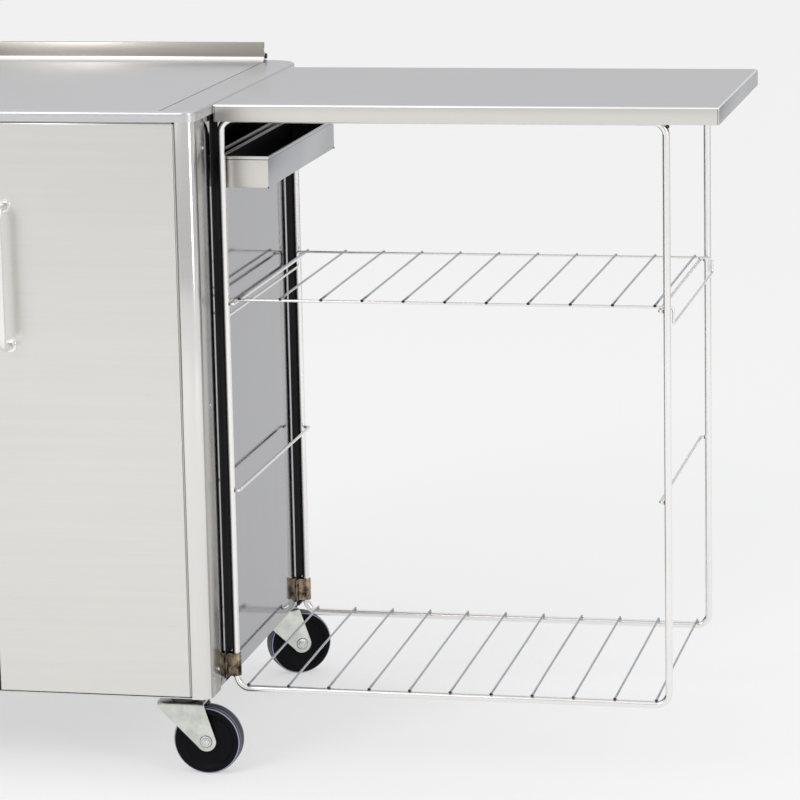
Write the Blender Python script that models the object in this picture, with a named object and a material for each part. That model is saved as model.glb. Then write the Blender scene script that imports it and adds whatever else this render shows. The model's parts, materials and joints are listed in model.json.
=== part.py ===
"""Rolling stainless cabinet cart with a rod-framed side table, in metres, +Z up.

X runs along the cart from the cabinet (-X) to the side table (+X), Y runs from the front (-Y)
to the back, and Z = 0 is the floor. Blender 4.5.
"""

import math

import bmesh
import bpy
from mathutils import Matrix, Vector

MM = 0.001
GAP = 0.3 * MM  # air left between pieces that touch on the real cart
SHEET = 1.5 * MM

# Cabinet
CABINET_WIDTH = 600 * MM
CABINET_DEPTH = 597 * MM
CABINET_BOTTOM = 117 * MM
TOP_HEIGHT = 917.5 * MM
TOP_APRON = 14 * MM
TOP_OVERHANG = 2 * MM
TOP_PLATE = 3.5 * MM
FRONT_CORNER_RADIUS = 16 * MM
REAR_CORNER_RADIUS = 40 * MM
COLUMN_FACE = 27 * MM
COLUMN_FLANGE = 54 * MM
JAMB_RETURN = 14 * MM
REAR_WRAP_START = 54 * MM
ARC_STEPS = 6

# Lid, its upstand and hinge
LID_BORDER = 49 * MM
LID_LEDGE = 8 * MM
LID_REAR = 18 * MM
LID_SKIRT = 10 * MM
UPSTAND_HEIGHT = 28 * MM
UPSTAND_TOP_RETURN = 5 * MM
UPSTAND_FILLET = 8 * MM
LID_PIN_RADIUS = 2.5 * MM
LID_PIN_RISE = 7 * MM
LID_PIN_SETBACK = 7 * MM
EAR_THICKNESS = 3 * MM

# Doors
DOOR_THICKNESS = 16 * MM
DOOR_SEAM = 2 * MM
DOOR_PIVOT_INSET = 20 * MM
HINGE_ROD_RADIUS = 3 * MM
HANDLE_RADIUS = 5 * MM
HANDLE_LENGTH = 190 * MM
HANDLE_STANDOFF = 33 * MM
HANDLE_INSET = 34 * MM
HANDLE_HEIGHT = 695 * MM

# Side table and its rod frame
TABLE_LENGTH = 678.5 * MM
TABLE_TOP = 915 * MM
TABLE_APRON = 23 * MM
TABLE_OVERHANG = 10 * MM
FRAME_SETBACK = 105 * MM
POST_OFFSET = 7.7 * MM
POST_SPAN = 600 * MM
POST_DEPTH = 415 * MM
ROD_RADIUS = 5 * MM
ROD_BEND = 18 * MM
LOWER_ROD_HEIGHT = 105 * MM
ROD_SIDES = 3
WIRE_RADIUS = 1.6 * MM
WIRE_COUNT = 11
WIRE_PITCH = 56.6 * MM
CLIP_BOTTOM = 124 * MM
CLIP_HEIGHT = 32 * MM
CLIP_FLANGE = 20 * MM
WIRE_OVERHANG = 4 * MM
BAR_RADIUS = 2.25 * MM
BAR_OFFSET = 10.5 * MM
UPPER_BAR_HEIGHT = 643.5 * MM
LOWER_BAR_HEIGHT = 385 * MM
BAR_BEND = 4 * MM

# Lift-out shelf
SHELF_INSET = 8 * MM
SHELF_LEFT = 1 * MM
SHELF_RIGHT = 7.5 * MM
SHELF_LIP = 22 * MM
SHELF_BEND = 5 * MM
SHELF_WIRE_SINK = 0.8 * MM

# Hanging tray and its rail
TRAY_FRONT = 12 * MM
TRAY_LENGTH = 393 * MM
TRAY_LEFT = 1.2 * MM
TRAY_WIDTH = 62 * MM
TRAY_TOP = 843 * MM
TRAY_DEPTH = 43 * MM
TRAY_SHEET = 1.3 * MM
HOOK_REACH = 6.3 * MM
HOOK_DROP = 21.4 * MM
RAIL_SETBACK = 28 * MM
RAIL_DEPTH = 6.5 * MM
RAIL_LIP = 9 * MM

# Well pan under the lid
WELL_DEPTH = 118 * MM
WELL_FLANGE = 15 * MM
WELL_INSET = 6 * MM

# Casters
WHEEL_RADIUS = 47 * MM
WHEEL_WIDTH = 25 * MM
WHEEL_BORE = 4.5 * MM
HUB_RADIUS = 13 * MM
HUB_WIDTH = 29 * MM
CASTER_TRAIL = 31 * MM
CASTER_INSET = 52 * MM
REAR_CASTER_INSET = 43 * MM
CASTER_FRONT = 55 * MM
CASTER_BACK = 50 * MM
FORK_SHEET = 2.5 * MM
FORK_SLOT = 30 * MM
FORK_HALF_TOP = 28 * MM
FORK_TOP = 101 * MM
FORK_BOSS = 14 * MM
AXLE_RADIUS = 4 * MM
AXLE_HEAD_RADIUS = 7.5 * MM
AXLE_HEAD = 4.5 * MM
KINGPIN_RADIUS = 5 * MM
RACE_RADIUS = 23 * MM
PLATE_THICKNESS = 3 * MM
PLATE_HALF_X = 40 * MM
PLATE_HALF_Y = 32 * MM
CASTER_YAWS = {"fr": 0.0, "rr": 31.0, "fl": 8.0, "rl": 20.0}

# Places that follow from the sizes
LENGTH = CABINET_WIDTH + GAP + TABLE_LENGTH
CABINET_LEFT = -LENGTH / 2
CABINET_RIGHT = CABINET_LEFT + CABINET_WIDTH
CABINET_MIDDLE = (CABINET_LEFT + CABINET_RIGHT) / 2
TABLE_LEFT = CABINET_RIGHT + GAP
TABLE_RIGHT = TABLE_LEFT + TABLE_LENGTH
HANDLE_PROJECTION = HANDLE_STANDOFF + HANDLE_RADIUS
FRONT = HANDLE_PROJECTION - (CABINET_DEPTH + HANDLE_PROJECTION) / 2
BACK = FRONT + CABINET_DEPTH
POST_LEFT = CABINET_RIGHT + POST_OFFSET
POST_RIGHT = POST_LEFT + POST_SPAN
POST_FRONT = FRONT + FRAME_SETBACK
POST_BACK = POST_FRONT + POST_DEPTH
UPPER_ROD_HEIGHT = TABLE_TOP - SHEET - GAP - ROD_RADIUS
FIRST_WIRE = (POST_SPAN - WIRE_PITCH * (WIRE_COUNT - 1)) / 2
LEDGE_HEIGHT = TOP_HEIGHT - SHEET - GAP
APRON_BOTTOM = TOP_HEIGHT - TOP_APRON
PANEL_TOP = TOP_HEIGHT - TOP_PLATE - GAP
OUTER_RIGHT = CABINET_RIGHT - SHEET - GAP
OUTER_LEFT = CABINET_LEFT + SHEET + GAP
PANEL_RIGHT = OUTER_RIGHT - SHEET - GAP
LID_LEFT = CABINET_LEFT + LID_BORDER
LID_RIGHT = CABINET_RIGHT - LID_BORDER
LID_BACK = BACK - LID_REAR
DOOR_BOTTOM = CABINET_BOTTOM + 3 * MM
DOOR_TOP = APRON_BOTTOM - DOOR_SEAM
PLATE_TOP = CABINET_BOTTOM - GAP


def clear_scene():
    for item in list(bpy.data.objects):
        bpy.data.objects.remove(item, do_unlink=True)


def make_material(name, colour, metallic, roughness):
    """A Principled material of one plain colour."""
    material = bpy.data.materials.new(name)
    material.use_nodes = True
    shader = material.node_tree.nodes["Principled BSDF"]
    shader.inputs["Base Color"].default_value = (*colour, 1.0)
    shader.inputs["Metallic"].default_value = metallic
    shader.inputs["Roughness"].default_value = roughness
    return material


def make_object(name, mesh, colour, metallic=1.0, roughness=0.3):
    """A named object with a material of its own; metal unless told otherwise."""
    made = bpy.data.objects.new(name, mesh)
    mesh.materials.clear()
    mesh.materials.append(make_material(name + "_finish", colour, metallic, roughness))
    mesh.polygons.foreach_set("material_index", [0] * len(mesh.polygons))
    mesh.shade_smooth()
    mesh.set_sharp_from_angle(angle=math.radians(35))
    bpy.context.scene.collection.objects.link(made)
    return made


def mesh_from(name, points, faces):
    mesh = bpy.data.meshes.new(name)
    mesh.from_pydata([tuple(point) for point in points], [], faces)
    build = bmesh.new()
    build.from_mesh(mesh)
    bmesh.ops.recalc_face_normals(build, faces=build.faces)
    build.to_mesh(mesh)
    build.free()
    return mesh


def prism(name, outline, low, high, axis="Z"):
    """An outline of (u, v) points pushed from low to high along an axis.

    The outline lies in XY for a Z prism, in YZ for an X prism and in XZ for a Y prism.
    """
    place = {
        "X": lambda u, v, w: (w, u, v),
        "Y": lambda u, v, w: (u, w, v),
        "Z": lambda u, v, w: (u, v, w),
    }[axis]
    count = len(outline)
    points = [place(u, v, low) for u, v in outline] + [place(u, v, high) for u, v in outline]
    faces = [list(range(count)), list(range(count, 2 * count))]
    for index in range(count):
        after = (index + 1) % count
        faces.append([index, after, after + count, index + count])
    return mesh_from(name, points, faces)


def block(name, low, high):
    outline = [(low[0], low[1]), (high[0], low[1]), (high[0], high[1]), (low[0], high[1])]
    return prism(name, outline, low[2], high[2])


def open_box(name, low, high, thickness, opening):
    """A folded sheet box, open on one side: opening is an axis number and a sign."""
    axis, sign = opening
    inner_low = [value + thickness for value in low]
    inner_high = [value - thickness for value in high]
    if sign > 0:
        inner_high[axis] = high[axis]
    else:
        inner_low[axis] = low[axis]
    points = []
    for corner_low, corner_high in ((low, high), (inner_low, inner_high)):
        for index in range(8):
            points.append([(corner_low, corner_high)[index >> n & 1][n] for n in range(3)])
    faces = []
    for n in range(3):
        for side in (0, 1):
            others = [m for m in range(3) if m != n]
            ring = []
            for a, b in ((0, 0), (1, 0), (1, 1), (0, 1)):
                ring.append((side << n) | (a << others[0]) | (b << others[1]))
            if n == axis and side == (sign > 0):
                for step in range(4):
                    here, after = ring[step], ring[(step + 1) % 4]
                    faces.append([here, after, after + 8, here + 8])
            else:
                faces.append(ring)
                faces.append([corner + 8 for corner in ring])
    return mesh_from(name, points, faces)


def arc(centre, radius, start, end, steps=ARC_STEPS):
    """Points on an arc, from the start angle to the end angle in degrees."""
    points = []
    for index in range(steps + 1):
        angle = math.radians(start + (end - start) * index / steps)
        points.append((centre[0] + radius * math.cos(angle), centre[1] + radius * math.sin(angle)))
    return points


def strip_outline(path, thickness):
    """The closed outline of a bent strip: a path, and the same path moved to its left."""
    inner = []
    for index, point in enumerate(path):
        here = Vector(point)
        before = (here - Vector(path[index - 1])).normalized() if index else None
        after = (Vector(path[index + 1]) - here).normalized() if index < len(path) - 1 else None
        before, after = before or after, after or before
        side = Vector((-before.y - after.y, before.x + after.x)).normalized()
        reach = thickness / max(side.dot(Vector((-before.y, before.x))), 0.3)
        inner.append(tuple(here + side * reach))
    return list(path) + inner[::-1]


def rounded_path(corners, radius, steps=5, closed=True):
    """A path through the corners, each turned with an arc of the radius."""
    points = []
    count = len(corners)
    for index, corner in enumerate(corners):
        here = Vector(corner)
        if not closed and index in (0, count - 1):
            points.append(here)
            continue
        before = (Vector(corners[index - 1]) - here).normalized()
        after = (Vector(corners[(index + 1) % count]) - here).normalized()
        half = before.angle(after) / 2
        cut = radius / math.tan(half)
        centre = here + (before + after).normalized() * (radius / math.sin(half))
        first, last = here + before * cut - centre, here + after * cut - centre
        for step in range(steps + 1):
            turn = first.angle(last) * step / steps
            away = first.cross(last).normalized()
            points.append(centre + Matrix.Rotation(turn, 3, away) @ first)
    return points


def rod_mesh(name, points, radius, closed=False, sides=ROD_SIDES):
    """A round rod along the points, as a mesh made from a bevelled curve."""
    curve = bpy.data.curves.new(name, "CURVE")
    curve.dimensions = "3D"
    curve.bevel_depth = radius
    curve.bevel_resolution = sides
    curve.use_fill_caps = True
    spline = curve.splines.new("POLY")
    spline.points.add(len(points) - 1)
    for target, point in zip(spline.points, points):
        target.co = (*point, 1.0)
    spline.use_cyclic_u = closed
    holder = bpy.data.objects.new(name + "_path", curve)
    bpy.context.scene.collection.objects.link(holder)
    bpy.context.view_layer.update()
    mesh = bpy.data.meshes.new_from_object(holder.evaluated_get(bpy.context.evaluated_depsgraph_get()))
    bpy.data.objects.remove(holder, do_unlink=True)
    mesh.name = name
    build = bmesh.new()
    build.from_mesh(mesh)
    bmesh.ops.remove_doubles(build, verts=build.verts, dist=0.01 * MM)
    bmesh.ops.recalc_face_normals(build, faces=build.faces)
    build.to_mesh(mesh)
    build.free()
    return mesh


def turned(name, profile, axis="Z", segments=24):
    """A solid turned about an axis through the origin, from (radius, along) points."""
    points, faces, rings = [], [], []
    for radius, along in profile:
        if radius < 0.001 * MM:
            rings.append([len(points)])
            points.append((0.0, 0.0, along))
            continue
        rings.append(list(range(len(points), len(points) + segments)))
        for index in range(segments):
            angle = 2 * math.pi * index / segments
            points.append((radius * math.cos(angle), radius * math.sin(angle), along))
    closed_bore = len(rings[0]) > 1
    pairs = list(zip(rings, rings[1:] + rings[:1])) if closed_bore else list(zip(rings, rings[1:]))
    for here, there in pairs:
        for index in range(segments):
            after = (index + 1) % segments
            if len(here) == 1:
                faces.append([here[0], there[index], there[after]])
            elif len(there) == 1:
                faces.append([here[index], here[after], there[0]])
            else:
                faces.append([here[index], here[after], there[after], there[index]])
    mesh = mesh_from(name, points, faces)
    if axis == "Y":
        mesh.transform(Matrix.Rotation(math.radians(90), 4, "X"))
    if axis == "X":
        mesh.transform(Matrix.Rotation(math.radians(90), 4, "Y"))
    return mesh


def combine(target, tool_mesh, operation):
    """Cuts a mesh from an object or welds it on, with a hidden helper beside it."""
    tool = bpy.data.objects.new(f"{target.name}_{operation.lower()}_{len(target.modifiers)}", tool_mesh)
    bpy.context.scene.collection.objects.link(tool)
    tool.parent = target.parent
    tool.location = target.location
    tool.hide_render = True
    tool.display_type = "WIRE"
    change = target.modifiers.new(operation.title(), "BOOLEAN")
    change.operation = operation
    change.solver = "EXACT"
    change.object = tool


def cut(target, tool_mesh):
    combine(target, tool_mesh, "DIFFERENCE")


def weld(target, tool_mesh):
    combine(target, tool_mesh, "UNION")


def pivot(name, location, yaw=0.0, parent=None):
    """An empty on a joint's axis, which the moving pieces hang from."""
    empty = bpy.data.objects.new(name, None)
    empty.location = location
    empty.rotation_euler = (0, 0, math.radians(yaw))
    empty.parent = parent
    bpy.context.scene.collection.objects.link(empty)
    return empty


def hang(made, empty):
    """Parents a piece that is modelled in place to a pivot, without moving it."""
    made.parent = empty
    made.location = -empty.location
    return made


def mirrored(mesh, name, middle=CABINET_MIDDLE):
    """A mirror image of a mesh across the plane X = middle."""
    copy = mesh.copy()
    copy.name = name
    copy.transform(Matrix.Translation((2 * middle, 0, 0)) @ Matrix.Diagonal((-1, 1, 1, 1)))
    copy.flip_normals()
    return copy


STEEL = (0.62, 0.61, 0.59)
STEEL_COOL = (0.55, 0.56, 0.57)
CHROME = (0.75, 0.75, 0.74)
ZINC = (0.60, 0.60, 0.56)
BLACK = (0.015, 0.015, 0.018)


def cabinet_outline(inset=0.0, front=FRONT - TOP_OVERHANG):
    """The cabinet's plan, with small front corners and large rear ones."""
    left, right = CABINET_LEFT + inset, CABINET_RIGHT - inset
    near, far = front + inset, BACK - inset
    small = FRONT_CORNER_RADIUS + TOP_OVERHANG - inset
    large = REAR_CORNER_RADIUS - inset
    outline = arc((right - small, near + small), small, -90, 0)
    outline += arc((right - large, far - large), large, 0, 90)
    outline += arc((left + large, far - large), large, 90, 180)
    outline += arc((left + small, near + small), small, 180, 270)
    return outline


def build_top_frame():
    """The ring that closes the cabinet's top: a plate with a folded apron all round."""
    outline = cabinet_outline()
    ring = make_object("top_frame", prism("top_frame", outline, APRON_BOTTOM, TOP_HEIGHT), STEEL)
    channel = cabinet_outline(inset=SHEET)
    cut(ring, prism("apron_inside", channel, APRON_BOTTOM - SHEET, TOP_HEIGHT - TOP_PLATE))
    low = (LID_LEFT + LID_LEDGE, FRONT + 26 * MM, APRON_BOTTOM)
    high = (LID_RIGHT - LID_LEDGE, LID_BACK - LID_LEDGE, TOP_HEIGHT + SHEET)
    cut(ring, block("lid_opening", low, high))
    low = (LID_LEFT - GAP, FRONT - 10 * MM, LEDGE_HEIGHT)
    high = (LID_RIGHT + GAP, LID_BACK + LID_PIN_SETBACK + 6 * MM, TOP_HEIGHT + SHEET)
    cut(ring, block("lid_rebate", low, high))


def build_shell():
    """Side panels, rounded back panel and the two front corner columns."""
    start = FRONT + 24 * MM
    end = BACK - REAR_WRAP_START + 12 * MM
    bottom = CABINET_BOTTOM + 2 * MM
    side = block("side_panel_right", (PANEL_RIGHT - SHEET, start, bottom), (PANEL_RIGHT, end, PANEL_TOP))
    make_object("side_panel_right", side, STEEL_COOL, roughness=0.12)
    make_object("side_panel_left", mirrored(side, "side_panel_left"), STEEL_COOL, roughness=0.12)

    radius = REAR_CORNER_RADIUS - SHEET - GAP
    back = BACK - SHEET - GAP
    path = [(OUTER_RIGHT, BACK - REAR_WRAP_START)]
    path += arc((OUTER_RIGHT - radius, back - radius), radius, 0, 90)
    path += arc((OUTER_LEFT + radius, back - radius), radius, 90, 180)
    path += [(OUTER_LEFT, BACK - REAR_WRAP_START)]
    outline = strip_outline(path, SHEET)
    make_object("back_panel", prism("back_panel", outline, CABINET_BOTTOM, PANEL_TOP), STEEL_COOL)

    radius = FRONT_CORNER_RADIUS
    jamb = OUTER_RIGHT - COLUMN_FACE
    path = [(jamb, FRONT + JAMB_RETURN), (jamb, FRONT)]
    path += arc((OUTER_RIGHT - radius, FRONT + radius), radius, -90, 0)
    path += [(OUTER_RIGHT, FRONT + COLUMN_FLANGE)]
    outline = strip_outline(path, SHEET)
    column = prism("corner_column_right", outline, CABINET_BOTTOM, PANEL_TOP)
    make_object("corner_column_right", column, STEEL, roughness=0.2)
    make_object("corner_column_left", mirrored(column, "corner_column_left"), STEEL, roughness=0.2)


def build_base_pan():
    """The floor of the cabinet, with folded walls on three sides, open to the front."""
    inner = OUTER_RIGHT - 2 * SHEET - 3 * GAP
    low = (2 * CABINET_MIDDLE - inner, FRONT + 2 * SHEET, CABINET_BOTTOM)
    high = (inner, BACK - 2 * SHEET - 4 * GAP, CABINET_BOTTOM + 26 * MM)
    pan = make_object("base_pan", open_box("base_pan", low, high, SHEET, (2, 1)), STEEL_COOL)
    deep = DOOR_THICKNESS + JAMB_RETURN
    tool_low = (low[0] - MM, FRONT, low[2] + SHEET)
    tool_high = (high[0] + MM, FRONT + deep, high[2] + MM)
    cut(pan, block("base_front", tool_low, tool_high))
    jamb = OUTER_RIGHT - COLUMN_FACE - GAP
    for low_x, high_x in ((jamb, high[0] + MM), (low[0] - MM, 2 * CABINET_MIDDLE - jamb)):
        tool_low = (low_x, FRONT, low[2] - MM)
        tool_high = (high_x, FRONT + JAMB_RETURN + GAP, high[2] + 2 * MM)
        cut(pan, block("base_notch", tool_low, tool_high))
    corner = REAR_CORNER_RADIUS - 2 * SHEET
    for side in (low[0], high[0]):
        inward = math.copysign(corner, CABINET_MIDDLE - side)
        tool = [(side + inward, high[1] + MM), (side - inward / 9, high[1] + MM)]
        tool += [(side - inward / 9, high[1] - corner)]
        cut(pan, prism("base_corner", tool, low[2] - MM, high[2] + MM))


def build_lid():
    """The top panel: a shallow pan with a rear upstand, hinged on two pins."""
    axis = (CABINET_MIDDLE, LID_BACK + LID_PIN_SETBACK, TOP_HEIGHT + LID_PIN_RISE)
    empty = pivot("lid_axis", axis)
    nose = FRONT - TOP_OVERHANG - SHEET
    top, under = TOP_HEIGHT, TOP_HEIGHT - SHEET
    face = LID_BACK - 2 * MM
    centre = (face - UPSTAND_FILLET, top + UPSTAND_FILLET)
    path = [(nose, top)]
    path += arc(centre, UPSTAND_FILLET, -90, 0, 4)
    path += [(face, top + UPSTAND_HEIGHT), (face + UPSTAND_TOP_RETURN, top + UPSTAND_HEIGHT)]
    outline = strip_outline(path[::-1], SHEET)
    profile = prism("lid", outline, LID_LEFT + GAP, LID_RIGHT - GAP, "X")
    lid = hang(make_object("lid", profile, STEEL), empty)
    low = (LID_LEFT + LID_LEDGE + 2 * GAP, FRONT + 28 * MM, under - LID_SKIRT)
    high = (LID_RIGHT - LID_LEDGE - 2 * GAP, LID_BACK - LID_LEDGE - 2 * MM, under + SHEET / 2)
    weld(lid, open_box("lid_skirt", low, high, SHEET, (2, -1)))
    cheek = EAR_THICKNESS + 3 * GAP
    for side, inward in ((LID_LEFT, 1), (LID_RIGHT, -1)):
        edges = sorted((side + inward * (cheek + GAP), side + inward * (cheek + 3 * MM)))
        leaf = [(face - 6 * MM, under + GAP), (axis[1] - 2 * MM, under + GAP)]
        leaf += arc((axis[1], axis[2]), 5.5 * MM, -60, 90)
        leaf += [(face - 2 * MM, axis[2] + 8 * MM)]
        weld(lid, prism("lid_leaf", leaf, edges[0], edges[1], "X"))
        hole = turned("leaf_hole", bar_profile(LID_PIN_RADIUS + GAP, -20 * MM, 20 * MM), "X", 16)
        hole.transform(Matrix.Translation((side + inward * 5 * MM, axis[1], axis[2])))
        cut(lid, hole)
        name = "right" if inward < 0 else "left"
        build_lid_hinge(name, side, inward, axis)


def build_lid_hinge(name, side, inward, axis):
    """A fixed ear beside the lid's leaf, and the pin through both."""
    near, far = sorted((side + inward * GAP, side + inward * (GAP + EAR_THICKNESS)))
    foot = LEDGE_HEIGHT + GAP
    outline = [(axis[1] - 6 * MM, foot), (axis[1] + 6 * MM, foot)]
    outline += arc((axis[1], axis[2]), 6 * MM, 0, 180)
    ear = make_object(f"hinge_ear_{name}", prism("ear", outline, near, far, "X"), CHROME)
    hole = turned("ear_hole", bar_profile(LID_PIN_RADIUS + GAP, -20 * MM, 20 * MM), "X", 16)
    hole.transform(Matrix.Translation((side, axis[1], axis[2])))
    cut(ear, hole)
    head = [(0, 0), (4 * MM, 0), (4 * MM, 2 * MM), (LID_PIN_RADIUS, 2 * MM)]
    head += [(LID_PIN_RADIUS, 14 * MM), (0, 14 * MM)]
    pin = turned("pin", head, "X", 16)
    if inward < 0:
        pin.transform(Matrix.Rotation(math.pi, 4, "Z"))
    start = side - inward * (2 * MM)
    pin.transform(Matrix.Translation((start, axis[1], axis[2])))
    make_object(f"hinge_pin_{name}", pin, CHROME)


def bar_profile(radius, low, high):
    return [(0, low), (radius, low), (radius, high), (0, high)]


def build_doors():
    """Two folded doors on vertical rods beside the columns, and their bow handles."""
    outer = OUTER_RIGHT - COLUMN_FACE - DOOR_SEAM
    inner = CABINET_MIDDLE + DOOR_SEAM / 2
    door = open_box(
        "door_right",
        (inner, FRONT, DOOR_BOTTOM),
        (outer, FRONT + DOOR_THICKNESS, DOOR_TOP),
        SHEET,
        (1, 1),
    )
    axis_x = outer - DOOR_PIVOT_INSET
    axis_y = FRONT + DOOR_THICKNESS / 2
    handle_x = inner + HANDLE_INSET
    start = (handle_x, FRONT - GAP, HANDLE_HEIGHT - HANDLE_LENGTH / 2)
    end = (handle_x, FRONT - GAP, HANDLE_HEIGHT + HANDLE_LENGTH / 2)
    corners = [start, (start[0], FRONT - HANDLE_STANDOFF, start[2])]
    corners += [(end[0], FRONT - HANDLE_STANDOFF, end[2]), end]
    bow = rod_mesh("handle", rounded_path(corners, 14 * MM, closed=False), HANDLE_RADIUS)
    rod = turned("rod", bar_profile(HINGE_ROD_RADIUS, 0, PANEL_TOP - CABINET_BOTTOM - SHEET - 2 * GAP))
    rod.transform(Matrix.Translation((axis_x, axis_y, CABINET_BOTTOM + SHEET + GAP)))
    hole = turned("hole", bar_profile(HINGE_ROD_RADIUS + GAP, DOOR_BOTTOM - MM, DOOR_TOP + MM), "Z", 16)
    hole.transform(Matrix.Translation((axis_x, axis_y, 0)))
    for side in ("right", "left"):
        at_right = side == "right"
        door_mesh = door if at_right else mirrored(door, "door_left")
        handle_mesh = bow if at_right else mirrored(bow, "door_handle_left")
        rod_copy = rod if at_right else mirrored(rod, "door_hinge_rod_left")
        hole_copy = hole if at_right else mirrored(hole, "hole_left")
        place = axis_x if at_right else 2 * CABINET_MIDDLE - axis_x
        empty = pivot(f"door_{side}_axis", (place, axis_y, DOOR_BOTTOM))
        leaf = hang(make_object(f"door_{side}", door_mesh, STEEL, roughness=0.28), empty)
        cut(leaf, hole_copy)
        hang(make_object(f"door_handle_{side}", handle_mesh, CHROME, roughness=0.1), empty)
        make_object(f"door_hinge_rod_{side}", rod_copy, CHROME)


def build_well_pan():
    """The removable pan that hangs below the lid's opening."""
    low = (LID_LEFT + LID_LEDGE + WELL_INSET, FRONT + 36 * MM, APRON_BOTTOM - GAP - WELL_DEPTH)
    high = (LID_RIGHT - LID_LEDGE - WELL_INSET, LID_BACK - LID_LEDGE - WELL_INSET, APRON_BOTTOM - GAP)
    pan = make_object("well_pan", open_box("well_pan", low, high, SHEET, (2, 1)), STEEL_COOL)
    rim_low = (low[0] - WELL_FLANGE, low[1] - WELL_FLANGE, high[2] - SHEET)
    rim_high = (high[0] + WELL_FLANGE, high[1] + WELL_FLANGE, high[2])
    rim = block("well_rim", rim_low, rim_high)
    weld(pan, rim)
    low_in = (low[0] + SHEET, low[1] + SHEET, high[2] - 4 * SHEET)
    high_in = (high[0] - SHEET, high[1] - SHEET, high[2] + SHEET)
    cut(pan, block("well_mouth", low_in, high_in))


def build_loops():
    """The front and back rod loops that carry the table, shelves and wires."""
    for name, depth in (("frame_loop_front", POST_FRONT), ("frame_loop_back", POST_BACK)):
        corners = [
            (POST_LEFT, depth, LOWER_ROD_HEIGHT),
            (POST_RIGHT, depth, LOWER_ROD_HEIGHT),
            (POST_RIGHT, depth, UPPER_ROD_HEIGHT),
            (POST_LEFT, depth, UPPER_ROD_HEIGHT),
        ]
        rod = rod_mesh(name, rounded_path(corners, ROD_BEND), ROD_RADIUS, closed=True)
        make_object(name, rod, CHROME, roughness=0.1)


def build_table():
    low = (TABLE_LEFT, POST_FRONT - TABLE_OVERHANG, TABLE_TOP - TABLE_APRON)
    high = (TABLE_RIGHT, POST_BACK + TABLE_OVERHANG, TABLE_TOP)
    top = make_object("table_top", open_box("table_top", low, high, SHEET, (2, -1)), STEEL)
    edge = top.modifiers.new("Folded edges", "BEVEL")
    edge.width = 1.2 * MM
    edge.segments = 2
    edge.limit_method = "ANGLE"
    edge.angle_limit = math.radians(60)


def build_bars():
    """Four bent bars welded between the posts, two for each shelf height."""
    levels = (("upper", UPPER_BAR_HEIGHT), ("lower", LOWER_BAR_HEIGHT))
    for level, height in levels:
        for side, post, inward in (("left", POST_LEFT, 1), ("right", POST_RIGHT, -1)):
            touch = post + inward * (ROD_RADIUS + GAP)
            run = post + inward * BAR_OFFSET
            corners = [
                (touch, POST_FRONT, height),
                (run, POST_FRONT, height),
                (run, POST_BACK, height),
                (touch, POST_BACK, height),
            ]
            path = rounded_path(corners, BAR_BEND, 4, closed=False)
            name = f"shelf_bar_{level}_{side}"
            make_object(name, rod_mesh(name, path, BAR_RADIUS, sides=2), CHROME, roughness=0.1)


def wire_places():
    return [POST_LEFT + FIRST_WIRE + WIRE_PITCH * index for index in range(WIRE_COUNT)]


def build_bottom_wires():
    height = LOWER_ROD_HEIGHT + ROD_RADIUS + WIRE_RADIUS + GAP
    for index, place in enumerate(wire_places(), 1):
        ends = [(place, POST_FRONT - WIRE_OVERHANG, height), (place, POST_BACK + WIRE_OVERHANG, height)]
        name = f"bottom_wire_{index:02d}"
        make_object(name, rod_mesh(name, ends, WIRE_RADIUS, sides=2), CHROME, roughness=0.12)


def build_mid_shelf():
    """The wire shelf that lifts off the upper bars: a bent frame with wires welded across it."""
    height = UPPER_BAR_HEIGHT + BAR_RADIUS + GAP + WIRE_RADIUS
    front, back = POST_FRONT + SHELF_INSET, POST_BACK - SHELF_INSET
    left, right = POST_LEFT + SHELF_LEFT, POST_RIGHT + SHELF_RIGHT
    corners = []
    for edge, first, second in ((left, back, front), (right, front, back)):
        corners.append((edge, first, height))
        corners.append((edge, first, height - SHELF_LIP))
        corners.append((edge, second, height - SHELF_LIP))
        corners.append((edge, second, height))
    path = rounded_path(corners, SHELF_BEND, 4)
    empty = pivot("mid_shelf_lift", (left, front, height))
    frame = rod_mesh("mid_shelf", path, WIRE_RADIUS, closed=True, sides=2)
    shelf = hang(make_object("mid_shelf", frame, CHROME, roughness=0.12), empty)
    above = height + 2 * WIRE_RADIUS - SHELF_WIRE_SINK
    for place in wire_places():
        ends = [(place, front - 2 * MM, above), (place, back + 2 * MM, above)]
        weld(shelf, rod_mesh("cross_wire", ends, WIRE_RADIUS, sides=2))


def build_post_clips():
    """Saddle clips that hold the two inner posts to the cabinet, above the bottom rods."""
    wall = PANEL_RIGHT + GAP
    for name, depth in (("front", POST_FRONT), ("back", POST_BACK)):
        reach = ROD_RADIUS + GAP
        path = [(wall, depth - CLIP_FLANGE), (wall, depth - reach)]
        path += arc((POST_LEFT, depth), reach, -90, 90, 8)
        path += [(wall, depth + reach), (wall, depth + CLIP_FLANGE)]
        outline = strip_outline(path[::-1], SHEET)
        clip = prism("clip", outline, CLIP_BOTTOM, CLIP_BOTTOM + CLIP_HEIGHT)
        make_object(f"post_clip_{name}", clip, ZINC)


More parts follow.
